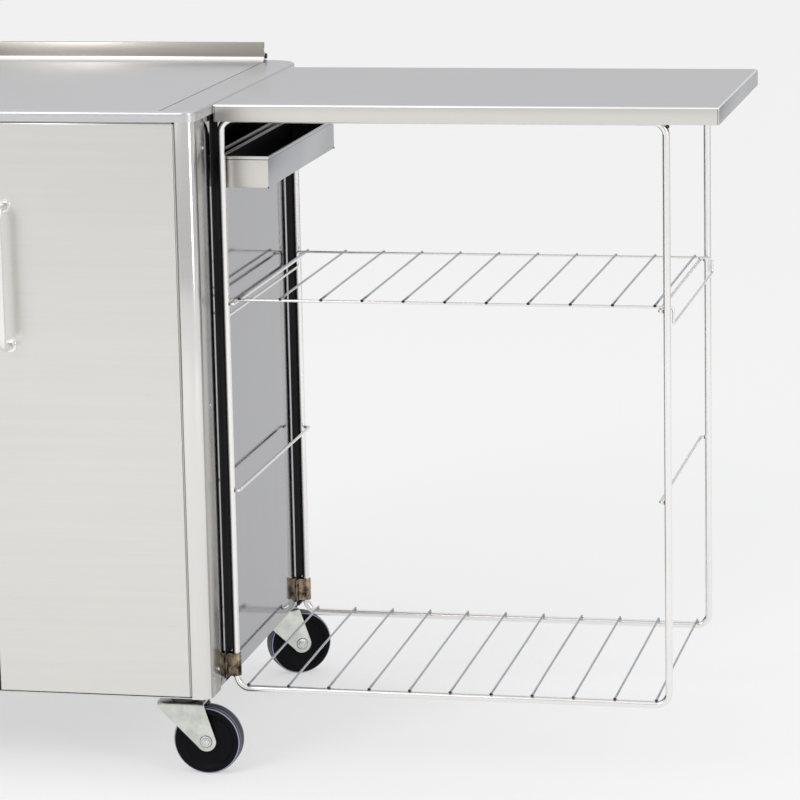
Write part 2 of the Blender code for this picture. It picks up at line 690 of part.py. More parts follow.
def build_tray():
    """The narrow tray under the table, hooked on a rail on the cabinet's side."""
    wall = PANEL_RIGHT + GAP
    left = POST_LEFT - TRAY_LEFT
    front = POST_FRONT + TRAY_FRONT
    low = (left, front, TRAY_TOP - TRAY_DEPTH)
    high = (left + TRAY_WIDTH, front + TRAY_LENGTH, TRAY_TOP)
    empty = pivot("tray_lift", (left, front, low[2]))
    tray = open_box("tray", low, high, TRAY_SHEET, (2, 1))
    tray = hang(make_object("tray", tray, STEEL), empty)
    floor = TRAY_TOP - HOOK_DROP
    hook = [(left + TRAY_SHEET / 2, TRAY_TOP), (left - HOOK_REACH, TRAY_TOP)]
    hook += [(left - HOOK_REACH, floor + GAP)]
    outline = strip_outline(hook, TRAY_SHEET)
    start, end = front + RAIL_SETBACK + 2 * MM, front + TRAY_LENGTH - RAIL_SETBACK - 2 * MM
    weld(tray, prism("tray_hook", outline, start, end, "Y"))
    rail = [(wall, TRAY_TOP - 3 * MM), (wall, floor - SHEET), (wall + RAIL_DEPTH, floor - SHEET)]
    rail += [(wall + RAIL_DEPTH, floor - SHEET + RAIL_LIP)]
    outline = strip_outline(rail, 1.0 * MM)
    ends = front + RAIL_SETBACK, front + TRAY_LENGTH - RAIL_SETBACK
    make_object("tray_rail", prism("tray_rail", outline, ends[0], ends[1], "Y"), STEEL_COOL)


def fork_outline():
    """The fork's side: a wide top that narrows to the boss around the axle."""
    boss = (CASTER_TRAIL, WHEEL_RADIUS)
    left_top = Vector((-FORK_HALF_TOP, FORK_TOP))
    right_top = Vector((FORK_HALF_TOP, FORK_TOP))
    outline = [tuple(right_top), tuple(left_top), (-FORK_HALF_TOP, FORK_TOP - 6 * MM)]
    outline += arc(boss, FORK_BOSS, 218, 380, 8)
    return outline


def build_caster(key, x, y):
    """One swivel caster: plate and race, fork, wheel and axle bolt."""
    empty = pivot(f"caster_{key}_swivel", (x, y, 0), CASTER_YAWS[key])
    plate_low = (x - PLATE_HALF_X, y - PLATE_HALF_Y, PLATE_TOP - PLATE_THICKNESS)
    plate_high = (x + PLATE_HALF_X, y + PLATE_HALF_Y, PLATE_TOP)
    plate = make_object(f"caster_{key}_plate", block("plate", plate_low, plate_high), ZINC)
    race_low, race_high = FORK_TOP + 2 * GAP, PLATE_TOP - PLATE_THICKNESS / 2
    profile = [(0, race_low), (RACE_RADIUS - 3 * MM, race_low), (RACE_RADIUS, race_low + 3 * MM)]
    profile += [(RACE_RADIUS, race_high), (0, race_high)]
    race = turned("race", profile)
    race.transform(Matrix.Translation((x, y, 0)))
    weld(plate, race)
    socket = turned("socket", bar_profile(KINGPIN_RADIUS + GAP, race_low - 2 * MM, race_high - MM), "Z", 16)
    socket.transform(Matrix.Translation((x, y, 0)))
    cut(plate, socket)

    half = FORK_SLOT / 2 + FORK_SHEET
    fork = make_object(f"caster_{key}_fork", prism("fork", fork_outline(), -half, half, "Y"), ZINC)
    fork.parent = empty
    slot_low = (-FORK_HALF_TOP - 10 * MM, -FORK_SLOT / 2, 0)
    slot_high = (CASTER_TRAIL + FORK_BOSS + 10 * MM, FORK_SLOT / 2, FORK_TOP - FORK_SHEET)
    cut(fork, block("fork_slot", slot_low, slot_high))
    bore = turned("fork_bore", bar_profile(AXLE_RADIUS + GAP, -half - MM, half + MM), "Y", 16)
    bore.transform(Matrix.Translation((CASTER_TRAIL, 0, WHEEL_RADIUS)))
    cut(fork, bore)
    weld(fork, turned("kingpin", bar_profile(KINGPIN_RADIUS, FORK_TOP - MM, race_high - 2 * MM), "Z", 16))

    hub = pivot(f"caster_{key}_hub", (CASTER_TRAIL, 0, WHEEL_RADIUS), parent=empty)
    side, edge = WHEEL_WIDTH / 2, HUB_WIDTH / 2
    rim = WHEEL_RADIUS - 10 * MM
    profile = [(WHEEL_BORE, -edge), (HUB_RADIUS, -edge), (HUB_RADIUS + MM, -side + 3 * MM)]
    profile += [(rim, -side + 3 * MM), (rim + MM, -side), (WHEEL_RADIUS - 3 * MM, -side)]
    profile += [(WHEEL_RADIUS, -side + 4 * MM)]
    profile += [(radius, -along) for radius, along in reversed(profile)]
    wheel = make_object(f"caster_{key}_wheel", turned("wheel", profile, "Y", 32), BLACK, 0.0, 0.45)
    wheel.parent = hub
    head = half + AXLE_HEAD
    profile = [(0, -head), (AXLE_HEAD_RADIUS - MM, -head), (AXLE_HEAD_RADIUS, -head + MM)]
    profile += [(AXLE_HEAD_RADIUS, -half - GAP), (AXLE_RADIUS, -half - GAP)]
    profile += [(radius, -along) for radius, along in reversed(profile)]
    axle = make_object(f"caster_{key}_axle", turned("axle", profile, "Y", 16), CHROME)
    axle.parent = empty
    axle.location = (CASTER_TRAIL, 0, WHEEL_RADIUS)


def build_casters():
    half = CABINET_WIDTH / 2
    ends = {"f": (half - CASTER_INSET, FRONT + CASTER_FRONT), "r": (half - REAR_CASTER_INSET, BACK - CASTER_BACK)}
    for end, (reach, y) in ends.items():
        build_caster(end + "r", CABINET_MIDDLE + reach, y)
        build_caster(end + "l", CABINET_MIDDLE - reach, y)


def main():
    clear_scene()
    build_base_pan()
    build_shell()
    build_top_frame()
    build_well_pan()
    build_lid()
    build_doors()
    build_loops()
    build_bars()
    build_bottom_wires()
    build_mid_shelf()
    build_table()
    build_post_clips()
    build_tray()
    build_casters()


main()
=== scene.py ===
"""The looks of a stainless cabinet cart with a rod-framed side table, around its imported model.

Everything is in metres, +Z up. The front of the cart faces -Y and the side table is at +X.
"""

import json
import logging
import math
from dataclasses import dataclass, replace
from enum import Enum
from typing import Iterable, Sequence

import bmesh
import bpy
from mathutils import Matrix, Quaternion, Vector


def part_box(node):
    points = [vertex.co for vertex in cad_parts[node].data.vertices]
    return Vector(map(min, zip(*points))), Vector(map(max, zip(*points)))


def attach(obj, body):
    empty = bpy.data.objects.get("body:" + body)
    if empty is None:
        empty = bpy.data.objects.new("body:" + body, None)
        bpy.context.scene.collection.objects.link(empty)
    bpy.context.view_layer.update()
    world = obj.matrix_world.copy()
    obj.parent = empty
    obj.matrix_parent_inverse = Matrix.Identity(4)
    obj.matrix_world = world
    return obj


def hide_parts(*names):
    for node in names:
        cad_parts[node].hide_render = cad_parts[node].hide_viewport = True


LOG = logging.getLogger("cart")
MM = 0.001
SHEET = 1.5 * MM
Point2 = tuple[float, float]
Point3 = tuple[float, float, float]
Colour = tuple[float, float, float]


class Axis(Enum):
    """The direction that a profile is extruded along or turned about."""

    X = "X"
    Y = "Y"
    Z = "Z"


class Slot(Enum):
    """The material slots of the record."""

    SHEET = "brushed_sheet"
    POLISHED = "polished_steel"
    ROD = "chromed_rod"
    ZINC = "zinc_plate"
    WHEEL = "wheel_black"


class Shapes:
    """Mesh builders that the sub-assemblies share."""

    @staticmethod
    def arc(centre: Point2, radius: float, start: float, end: float, steps: int = 10) -> list[Point2]:
        """Points along an arc.

        Args:
            centre: The arc's centre.
            radius: Its radius.
            start: The first angle, in degrees.
            end: The last angle, in degrees.
            steps: How many straight steps it is made of.

        Returns:
            The points, both ends included.
        """
        angles = [math.radians(start + (end - start) * i / steps) for i in range(steps + 1)]
        return [(centre[0] + radius * math.cos(a), centre[1] + radius * math.sin(a)) for a in angles]

    @staticmethod
    def finish_mesh(name: str, bm: bmesh.types.BMesh, smooth_angle: float = 32.0) -> bpy.types.Object:
        """Turns a bmesh into a linked object with smooth faces up to an angle.

        Args:
            name: The object's name.
            bm: The mesh, which is freed.
            smooth_angle: The largest angle in degrees that is shaded smooth.

        Returns:
            The new object.
        """
        bmesh.ops.remove_doubles(bm, verts=bm.verts, dist=1e-7)
        bmesh.ops.recalc_face_normals(bm, faces=bm.faces)
        mesh = bpy.data.meshes.new(name)
        bm.to_mesh(mesh)
        bm.free()
        mesh.shade_smooth()
        mesh.set_sharp_from_angle(angle=math.radians(smooth_angle))
        item = bpy.data.objects.new(name, mesh)
        bpy.context.scene.collection.objects.link(item)
        return item

    @staticmethod
    def loft(name: str, loops: Sequence[Sequence[Point3]], closed: bool = False,
             smooth_angle: float = 32.0) -> bpy.types.Object:
        """Skins a row of loops that have equal numbers of points.

        Args:
            name: The object's name.
            loops: The loops in order.
            closed: True to join the last loop to the first, and False to cap both.
            smooth_angle: The largest angle in degrees that is shaded smooth.

        Returns:
            The new object.
        """
        bm = bmesh.new()
        rows = [[bm.verts.new(point) for point in loop] for loop in loops]
        count = len(rows[0])
        pairs = list(zip(rows, rows[1:] + rows[:1])) if closed else list(zip(rows, rows[1:]))
        for low, high in pairs:
            for i in range(count):
                j = (i + 1) % count
                bm.faces.new((low[i], low[j], high[j], high[i]))
        if not closed:
            bm.faces.new(rows[0][::-1])
            bm.faces.new(rows[-1])
        return Shapes.finish_mesh(name, bm, smooth_angle)

    @staticmethod
    def prism(name: str, outline: Sequence[Point2], low: float, high: float, axis: Axis = Axis.Z,
              smooth_angle: float = 32.0) -> bpy.types.Object:
        """Extrudes a flat outline.

        Args:
            name: The object's name.
            outline: Its points: (x, y) for Z, (y, z) for X and (x, z) for Y.
            low: Where the extrusion starts.
            high: Where it ends.
            axis: The direction of extrusion.
            smooth_angle: The largest angle in degrees that is shaded smooth.

        Returns:
            The new object.
        """
        def point(pair: Point2, depth: float) -> Point3:
            """Returns the pair as a point at that depth."""
            first, second = pair
            return {Axis.Z: (first, second, depth), Axis.X: (depth, first, second),
                    Axis.Y: (first, depth, second)}[axis]

        ends = [[point(pair, depth) for pair in outline] for depth in (low, high)]
        return Shapes.loft(name, ends, smooth_angle=smooth_angle)

    @staticmethod
    def block(name: str, low: Point3, high: Point3) -> bpy.types.Object:
        """Returns a plain box between two corners, used as a cutter or a backing."""
        outline = [(low[0], low[1]), (high[0], low[1]), (high[0], high[1]), (low[0], high[1])]
        return Shapes.prism(name, outline, low[2], high[2])

    @staticmethod
    def strip(path: Sequence[Point2], thickness: float) -> list[Point2]:
        """The outline of folded sheet that follows a path.

        Args:
            path: The sheet's outer face.
            thickness: How far the sheet reaches to the left of the path.

        Returns:
            A closed outline.
        """
        points = [Vector(p) for p in path]
        inner = []
        for i, point in enumerate(points):
            before = (point - points[i - 1]).normalized() if i else None
            after = (points[i + 1] - point).normalized() if i + 1 < len(points) else None
            first, second = before or after, after or before
            a, b = Vector((-first.y, first.x)), Vector((-second.y, second.x))
            mitre = (a + b).normalized()
            inner.append(point + mitre * (thickness / max(0.3, mitre.dot(a))))
        return [tuple(p) for p in points] + [tuple(p) for p in reversed(inner)]

    @staticmethod
    def turned(name: str, profile: Sequence[Point2], steps: int = 48, axis: Axis = Axis.Z,
               smooth_angle: float = 32.0) -> bpy.types.Object:
        """Turns a profile about an axis through the origin.

        Args:
            name: The object's name.
            profile: (radius, along) points, starting and ending on the axis, or a closed ring off it.
            steps: How many steps go round.
            axis: The axis of turning.
            smooth_angle: The largest angle in degrees that is shaded smooth.

        Returns:
            The new object.
        """
        ring = profile[0][0] > 0
        bm = bmesh.new()
        rows = []
        for radius, along in profile:
            if radius <= 0:
                rows.append([bm.verts.new((0, 0, along))])
                continue
            angles = [2 * math.pi * i / steps for i in range(steps)]
            rows.append([bm.verts.new((radius * math.cos(a), radius * math.sin(a), along)) for a in angles])
        pairs = list(zip(rows, rows[1:] + rows[:1])) if ring else list(zip(rows, rows[1:]))
        for low, high in pairs:
            for i in range(steps):
                j = (i + 1) % steps
                corners = [low[i % len(low)], low[j % len(low)], high[j % len(high)], high[i % len(high)]]
                kept = list(dict.fromkeys(corners))
                if len(kept) > 2:
                    bm.faces.new(kept)
        turn = {Axis.Z: Matrix(), Axis.X: Matrix.Rotation(math.pi / 2, 4, "Y"),
                Axis.Y: Matrix.Rotation(-math.pi / 2, 4, "X")}[axis]
        bmesh.ops.transform(bm, matrix=turn, verts=bm.verts)
        return Shapes.finish_mesh(name, bm, smooth_angle)

    @staticmethod
    def rounded_path(corners: Sequence[Point3], radius: float, closed: bool = True,
                     steps: int = 10) -> list[Vector]:
        """A path through corners with each one rounded.

        Args:
            corners: The sharp corners in order.
            radius: The bend radius of the path.
            closed: Whether the path runs back to its first corner.
            steps: How many straight steps each bend is made of.

        Returns:
            The path's points.
        """
        points = [Vector(c) for c in corners]
        path: list[Vector] = []
        for i, corner in enumerate(points):
            if not closed and i in (0, len(points) - 1):
                path.append(corner)
                continue
            back = (points[i - 1] - corner).normalized()
            ahead = (points[(i + 1) % len(points)] - corner).normalized()
            half = back.angle(ahead) / 2
            reach = min(radius / math.tan(half), 0.49 * (points[i - 1] - corner).length,
                        0.49 * (points[(i + 1) % len(points)] - corner).length)
            bend = reach * math.tan(half)
            centre = corner + (back + ahead).normalized() * (bend / math.sin(half))
            start = (corner + back * reach - centre).normalized()
            end = (corner + ahead * reach - centre).normalized()
            for step in range(steps + 1):
                path.append(centre + start.slerp(end, step / steps) * bend)
        return path

    @staticmethod
    def tube(name: str, path: Sequence[Vector], radius: float, closed: bool = False, sides: int = 20
             ) -> bpy.types.Object:
        """Sweeps a circle along a path with rounded ends.

        Args:
            name: The object's name.
            path: The centre line.
            radius: The rod's radius.
            closed: Whether the rod is an endless loop.
            sides: How many faces go round it.

        Returns:
            The new object.
        """
        path = [Vector(p) for p in path]
        count = len(path)
        tangents = []
        for i in range(count):
            low = path[i - 1] if closed or i else path[0]
            high = path[(i + 1) % count] if closed or i + 1 < count else path[-1]
            tangents.append((high - low).normalized())
        side = tangents[0].orthogonal().normalized()
        sides_at = []
        for i, tangent in enumerate(tangents):
            if i:
                side = tangents[i - 1].rotation_difference(tangent) @ side
            sides_at.append(side.copy())
        twist = 0.0
        if closed:
            last = tangents[-1].rotation_difference(tangents[0]) @ sides_at[-1]
            twist = math.atan2(last.cross(sides_at[0]).dot(tangents[0]), last.dot(sides_at[0]))
        loops = []
        for i in range(count):
            frame_side = Quaternion(tangents[i], twist * i / count) @ sides_at[i]
            up = tangents[i].cross(frame_side)
            turns = [2 * math.pi * k / sides for k in range(sides)]
            loops.append([tuple(path[i] + radius * (math.cos(turn) * frame_side + math.sin(turn) * up))
                          for turn in turns])
        if not closed:
            nip = 0.25 * radius
            for end, index, sign in ((0, 0, 1), (-1, count - 1, -1)):
                middle, tangent = path[index], tangents[index] * sign
                ring = [Vector(p) for p in loops[end]]
                cap = [tuple(middle + (p - middle) * 0.8) for p in ring]
                body = [tuple(p + tangent * nip) for p in ring]
                if sign > 0:
                    loops[0:1] = [cap, body]
                else:
                    loops[-1:] = [body, cap]
        return Shapes.loft(name, loops, closed=closed, smooth_angle=50)

    @staticmethod
    def bead(name: str, place: Vector, size: Vector) -> bpy.types.Object:
        """Returns a small weld bead: a lumpy ball of those half-sizes at that place."""
        bm = bmesh.new()
        bmesh.ops.create_icosphere(bm, subdivisions=2, radius=1.0)
        for vert in bm.verts:
            ripple = math.sin(7 * vert.co.x + 5 * vert.co.y + 1000 * place.x) * math.cos(6 * vert.co.z)
            swell = 1 + 0.1 * ripple
            vert.co = Vector((vert.co.x * size.x, vert.co.y * size.y, vert.co.z * size.z)) * swell + place
        return Shapes.finish_mesh(name, bm, 60)

    @staticmethod
    def join(name: str, pieces: Sequence[bpy.types.Object]) -> bpy.types.Object:
        """Joins objects into the first one.

        Args:
            name: The name of the joined object.
            pieces: The objects, of which all but the first are removed.

        Returns:
            The joined object.
        """
        bm = bmesh.new()
        for piece in pieces:
            mesh = piece.data.copy()
            mesh.transform(piece.matrix_world)
            bm.from_mesh(mesh)
            bpy.data.meshes.remove(mesh)
        for piece in pieces:
            bpy.data.objects.remove(piece, do_unlink=True)
        mesh = bpy.data.meshes.new(name)
        bm.to_mesh(mesh)
        bm.free()
        item = bpy.data.objects.new(name, mesh)
        bpy.context.scene.collection.objects.link(item)
        return item

    @staticmethod
    def cut(item: bpy.types.Object, cutters: Iterable[bpy.types.Object], smooth_angle: float = 32.0) -> None:
        """Cuts solids out of an object and applies the result.

        Args:
            item: The object that is cut.
            cutters: The solids to take away, which are removed.
            smooth_angle: The largest angle in degrees that stays smooth.
        """
        for cutter in cutters:
            step = item.modifiers.new("cut", "BOOLEAN")
            step.operation, step.solver, step.object = "DIFFERENCE", "EXACT", cutter
            Shapes.bake(item)
            bpy.data.objects.remove(cutter, do_unlink=True)
        item.data.shade_smooth()
        item.data.set_sharp_from_angle(angle=math.radians(smooth_angle))

    @staticmethod
    def bake(item: bpy.types.Object) -> None:
        """Applies the modifiers of an object."""
        bpy.context.view_layer.update()
        graph = bpy.context.evaluated_depsgraph_get()
        mesh = bpy.data.meshes.new_from_object(item.evaluated_get(graph))
        item.modifiers.clear()
        old, item.data = item.data, mesh
        bpy.data.meshes.remove(old)

    @staticmethod
    def soften(item: bpy.types.Object, width: float, segments: int = 2,
               angle: float = 40.0) -> bpy.types.Object:
        """Rounds the sharp edges of an object.

        Args:
            item: The object.
            width: The width of the rounding.
            segments: How many faces make it up.
            angle: The least angle in degrees between faces that are rounded.

        Returns:
            The same object.
        """
        step = item.modifiers.new("soften", "BEVEL")
        step.width, step.segments = width, segments
        step.limit_method, step.angle_limit = "ANGLE", math.radians(angle)
        step.harden_normals = False
        step.use_clamp_overlap = True
        Shapes.bake(item)
        item.data.shade_smooth()
        item.data.set_sharp_from_angle(angle=math.radians(50))
        return item

    @staticmethod
    def move(item: bpy.types.Object, matrix: Matrix) -> bpy.types.Object:
        """Moves an object's mesh by a matrix and returns the object."""
        item.data.transform(matrix)
        return item

    @staticmethod
    def screw(name: str, place: Vector, outward: Vector, radius: float = 3 * MM) -> bpy.types.Object:
        """A pan-head screw with a cross recess.

        Args:
            name: The object's name.
            place: The point under the head's centre.
            outward: The direction that the head faces.
            radius: The head's radius.

        Returns:
            The new object.
        """
        height = 0.62 * radius
        profile = [(0.0, -0.3 * MM), (radius, -0.3 * MM), (radius, 0.25 * height)]
        profile += [(radius * math.cos(a), 0.25 * height + 0.75 * height * math.sin(a))
                    for a in (math.radians(d) for d in (20, 40, 60, 75))]
        profile += [(0.0, height)]
        head = Shapes.turned(name, profile, 24)
        slots = []
        for turn in (0, 90):
            slot = Shapes.block("recess", (-0.6 * radius, -0.14 * radius, 0.45 * height),
                                (0.6 * radius, 0.14 * radius, 2 * height))
            slots.append(Shapes.move(slot, Matrix.Rotation(math.radians(turn), 4, "Z")))
        Shapes.cut(head, slots, 40)
        turn = Vector((0, 0, 1)).rotation_difference(outward).to_matrix().to_4x4()
        return Shapes.move(head, Matrix.Translation(place) @ turn)


class Effects:
    """Shader node groups that more than one finish uses, each built once."""

    def __init__(self) -> None:
        """Starts with no group built."""
        self.built: dict[str, bpy.types.NodeTree] = {}

    def start(self, name: str, inputs: Sequence[tuple[str, str, float | Point3]],
              outputs: Sequence[tuple[str, str]]
              ) -> tuple[bpy.types.NodeTree, bpy.types.Node, bpy.types.Node]:
        """Begins a node group.

        Args:
            name: The group's name.
            inputs: (name, socket type, default) of each input.
            outputs: (name, socket type) of each output.

        Returns:
            The tree, its input node and its output node.
        """
        tree = bpy.data.node_groups.new(name, "ShaderNodeTree")
        for label, kind, value in inputs:
            socket = tree.interface.new_socket(label, in_out="INPUT", socket_type=kind)
            socket.default_value = value
        for label, kind in outputs:
            tree.interface.new_socket(label, in_out="OUTPUT", socket_type=kind)
        return tree, tree.nodes.new("NodeGroupInput"), tree.nodes.new("NodeGroupOutput")

    def grain(self) -> bpy.types.NodeTree:
        """Brushed grain: long fine scratches with slower bands under them.

        Returns:
            A group that takes Vector, Stretch and Bands, and gives Height and Tone.
        """
        if "grain" in self.built:
            return self.built["grain"]
        tree, source, sink = self.start(
            "brushed_grain",
            [("Vector", "NodeSocketVector", (0, 0, 0)), ("Stretch", "NodeSocketVector", (8, 900, 900)),
             ("Bands", "NodeSocketFloat", 0.35)],
            [("Height", "NodeSocketFloat"), ("Tone", "NodeSocketFloat")])
        stretch = tree.nodes.new("ShaderNodeVectorMath")
        stretch.operation = "MULTIPLY"
        fine = tree.nodes.new("ShaderNodeTexNoise")
        fine.inputs["Scale"].default_value = 1.0
        fine.inputs["Detail"].default_value = 5.0
        fine.inputs["Roughness"].default_value = 0.62
        broad_scale = tree.nodes.new("ShaderNodeVectorMath")
        broad_scale.operation = "SCALE"
        broad_scale.inputs["Scale"].default_value = 0.07
        broad = tree.nodes.new("ShaderNodeTexNoise")
        broad.inputs["Scale"].default_value = 1.0
        broad.inputs["Detail"].default_value = 3.0
        mix = tree.nodes.new("ShaderNodeMix")
        link = tree.links.new
        link(source.outputs["Vector"], stretch.inputs[0])
        link(source.outputs["Stretch"], stretch.inputs[1])
        link(stretch.outputs[0], fine.inputs["Vector"])
        link(stretch.outputs[0], broad_scale.inputs[0])
        link(broad_scale.outputs[0], broad.inputs["Vector"])
        link(source.outputs["Bands"], mix.inputs[0])
        link(fine.outputs["Fac"], mix.inputs[2])
        link(broad.outputs["Fac"], mix.inputs[3])
        link(fine.outputs["Fac"], sink.inputs["Height"])
        link(mix.outputs[0], sink.inputs["Tone"])
        self.built["grain"] = tree
        return tree

    def smudge(self) -> bpy.types.NodeTree:
        """Hand marks and wipe marks: soft cloudy patches.

        Returns:
            A group that takes Vector, Scale and Cover, and gives Mask.
        """
        if "smudge" in self.built:
            return self.built["smudge"]
        tree, source, sink = self.start(
            "smudge",
            [("Vector", "NodeSocketVector", (0, 0, 0)), ("Scale", "NodeSocketFloat", 6.0),
             ("Cover", "NodeSocketFloat", 0.5)],
            [("Mask", "NodeSocketFloat")])
        cloud = tree.nodes.new("ShaderNodeTexNoise")
        cloud.inputs["Detail"].default_value = 6.0
        cloud.inputs["Distortion"].default_value = 0.8
        low = tree.nodes.new("ShaderNodeMath")
        low.operation = "SUBTRACT"
        low.inputs[0].default_value = 0.95
        ramp = tree.nodes.new("ShaderNodeMapRange")
        ramp.interpolation_type = "SMOOTHSTEP"
        ramp.inputs["From Max"].default_value = 0.85
        link = tree.links.new
        link(source.outputs["Vector"], cloud.inputs["Vector"])
        link(source.outputs["Scale"], cloud.inputs["Scale"])
        link(source.outputs["Cover"], low.inputs[1])
        link(low.outputs[0], ramp.inputs["From Min"])
        link(cloud.outputs["Fac"], ramp.inputs["Value"])
        link(ramp.outputs[0], sink.inputs["Mask"])
        self.built["smudge"] = tree
        return tree

    def edge_wear(self) -> bpy.types.NodeTree:
        """Wear along edges: where the rounded normal turns away from the face.

        Returns:
            A group that takes Vector, Width and Amount, and gives Mask.
        """
        if "edge_wear" in self.built:
            return self.built["edge_wear"]
        tree, source, sink = self.start(
            "edge_wear",
            [("Vector", "NodeSocketVector", (0, 0, 0)), ("Width", "NodeSocketFloat", 1.2 * MM),
             ("Amount", "NodeSocketFloat", 0.6)],
            [("Mask", "NodeSocketFloat")])
        rounded = tree.nodes.new("ShaderNodeBevel")
        rounded.samples = 4
        face = tree.nodes.new("ShaderNodeNewGeometry")
        dot = tree.nodes.new("ShaderNodeVectorMath")
        dot.operation = "DOT_PRODUCT"
        ramp = tree.nodes.new("ShaderNodeMapRange")
        ramp.inputs["From Min"].default_value = 0.995
        ramp.inputs["From Max"].default_value = 0.86
        break_up = tree.nodes.new("ShaderNodeTexNoise")
        break_up.inputs["Scale"].default_value = 90.0
        break_up.inputs["Detail"].default_value = 4.0
        first, second = tree.nodes.new("ShaderNodeMath"), tree.nodes.new("ShaderNodeMath")
        first.operation = second.operation = "MULTIPLY"
        link = tree.links.new
        link(source.outputs["Width"], rounded.inputs["Radius"])
        link(rounded.outputs[0], dot.inputs[0])
        link(face.outputs["Normal"], dot.inputs[1])
        link(dot.outputs["Value"], ramp.inputs["Value"])
        link(source.outputs["Vector"], break_up.inputs["Vector"])
        link(ramp.outputs[0], first.inputs[0])
        link(break_up.outputs["Fac"], first.inputs[1])
        link(first.outputs[0], second.inputs[0])
        link(source.outputs["Amount"], second.inputs[1])
        link(second.outputs[0], sink.inputs["Mask"])
        self.built["edge_wear"] = tree
        return tree

    def shade_band(self) -> bpy.types.NodeTree:
        """A soft-edged band across one direction, for painted shade beside a rod: it stands in for the shade
        and dark reflection that the panel shows there.

        Returns:
            A group that takes Position, Centre, Half and Soft, and gives Mask.
        """
        if "shade_band" in self.built:
            return self.built["shade_band"]
        tree, source, sink = self.start(
            "shade_band",
            [("Position", "NodeSocketFloat", 0.0), ("Centre", "NodeSocketFloat", 0.0),
             ("Half", "NodeSocketFloat", 0.02), ("Soft", "NodeSocketFloat", 0.003)],
            [("Mask", "NodeSocketFloat")])
        away = tree.nodes.new("ShaderNodeMath")
        away.operation = "SUBTRACT"
        size = tree.nodes.new("ShaderNodeMath")
        size.operation = "ABSOLUTE"
        far = tree.nodes.new("ShaderNodeMath")
        far.operation = "ADD"
        ramp = tree.nodes.new("ShaderNodeMapRange")
        ramp.interpolation_type = "SMOOTHSTEP"
        ramp.inputs["To Min"].default_value = 1.0
        ramp.inputs["To Max"].default_value = 0.0
        link = tree.links.new
        link(source.outputs["Position"], away.inputs[0])
        link(source.outputs["Centre"], away.inputs[1])
        link(away.outputs[0], size.inputs[0])
        link(source.outputs["Half"], far.inputs[0])
        link(source.outputs["Soft"], far.inputs[1])
        link(size.outputs[0], ramp.inputs["Value"])
        link(source.outputs["Half"], ramp.inputs["From Min"])
        link(far.outputs[0], ramp.inputs["From Max"])
        link(ramp.outputs[0], sink.inputs["Mask"])
        self.built["shade_band"] = tree
        return tree


@dataclass(frozen=True)
class Finish:
    """One finish: its colours, gloss, grain and marks."""

    name: str
    colour: Colour
    dark: Colour
    metallic: float = 1.0
    roughness: float = 0.25
    rough_spread: float = 0.12
    stretch: Point3 = (8.0, 900.0, 900.0)
    bands: float = 0.35
    grain_depth: float = 0.05
    smudge_scale: float = 5.0
    smudge_rough: float = 0.08
    wear: float = 0.5
    wear_colour: Colour = (0.92, 0.92, 0.90)
    wear_width: float = 1.0 * MM
    coat: float = 0.0
    specular: float = 0.5
    # Y centres of painted shade bands: near-black, rough, non-metal stripes that stand in for the shade and
    # dark reflection beside the rods.
    painted_shade_bands: tuple[float, ...] = ()
    painted_shade_half: float = 0.02
    contrast: float = 1.0


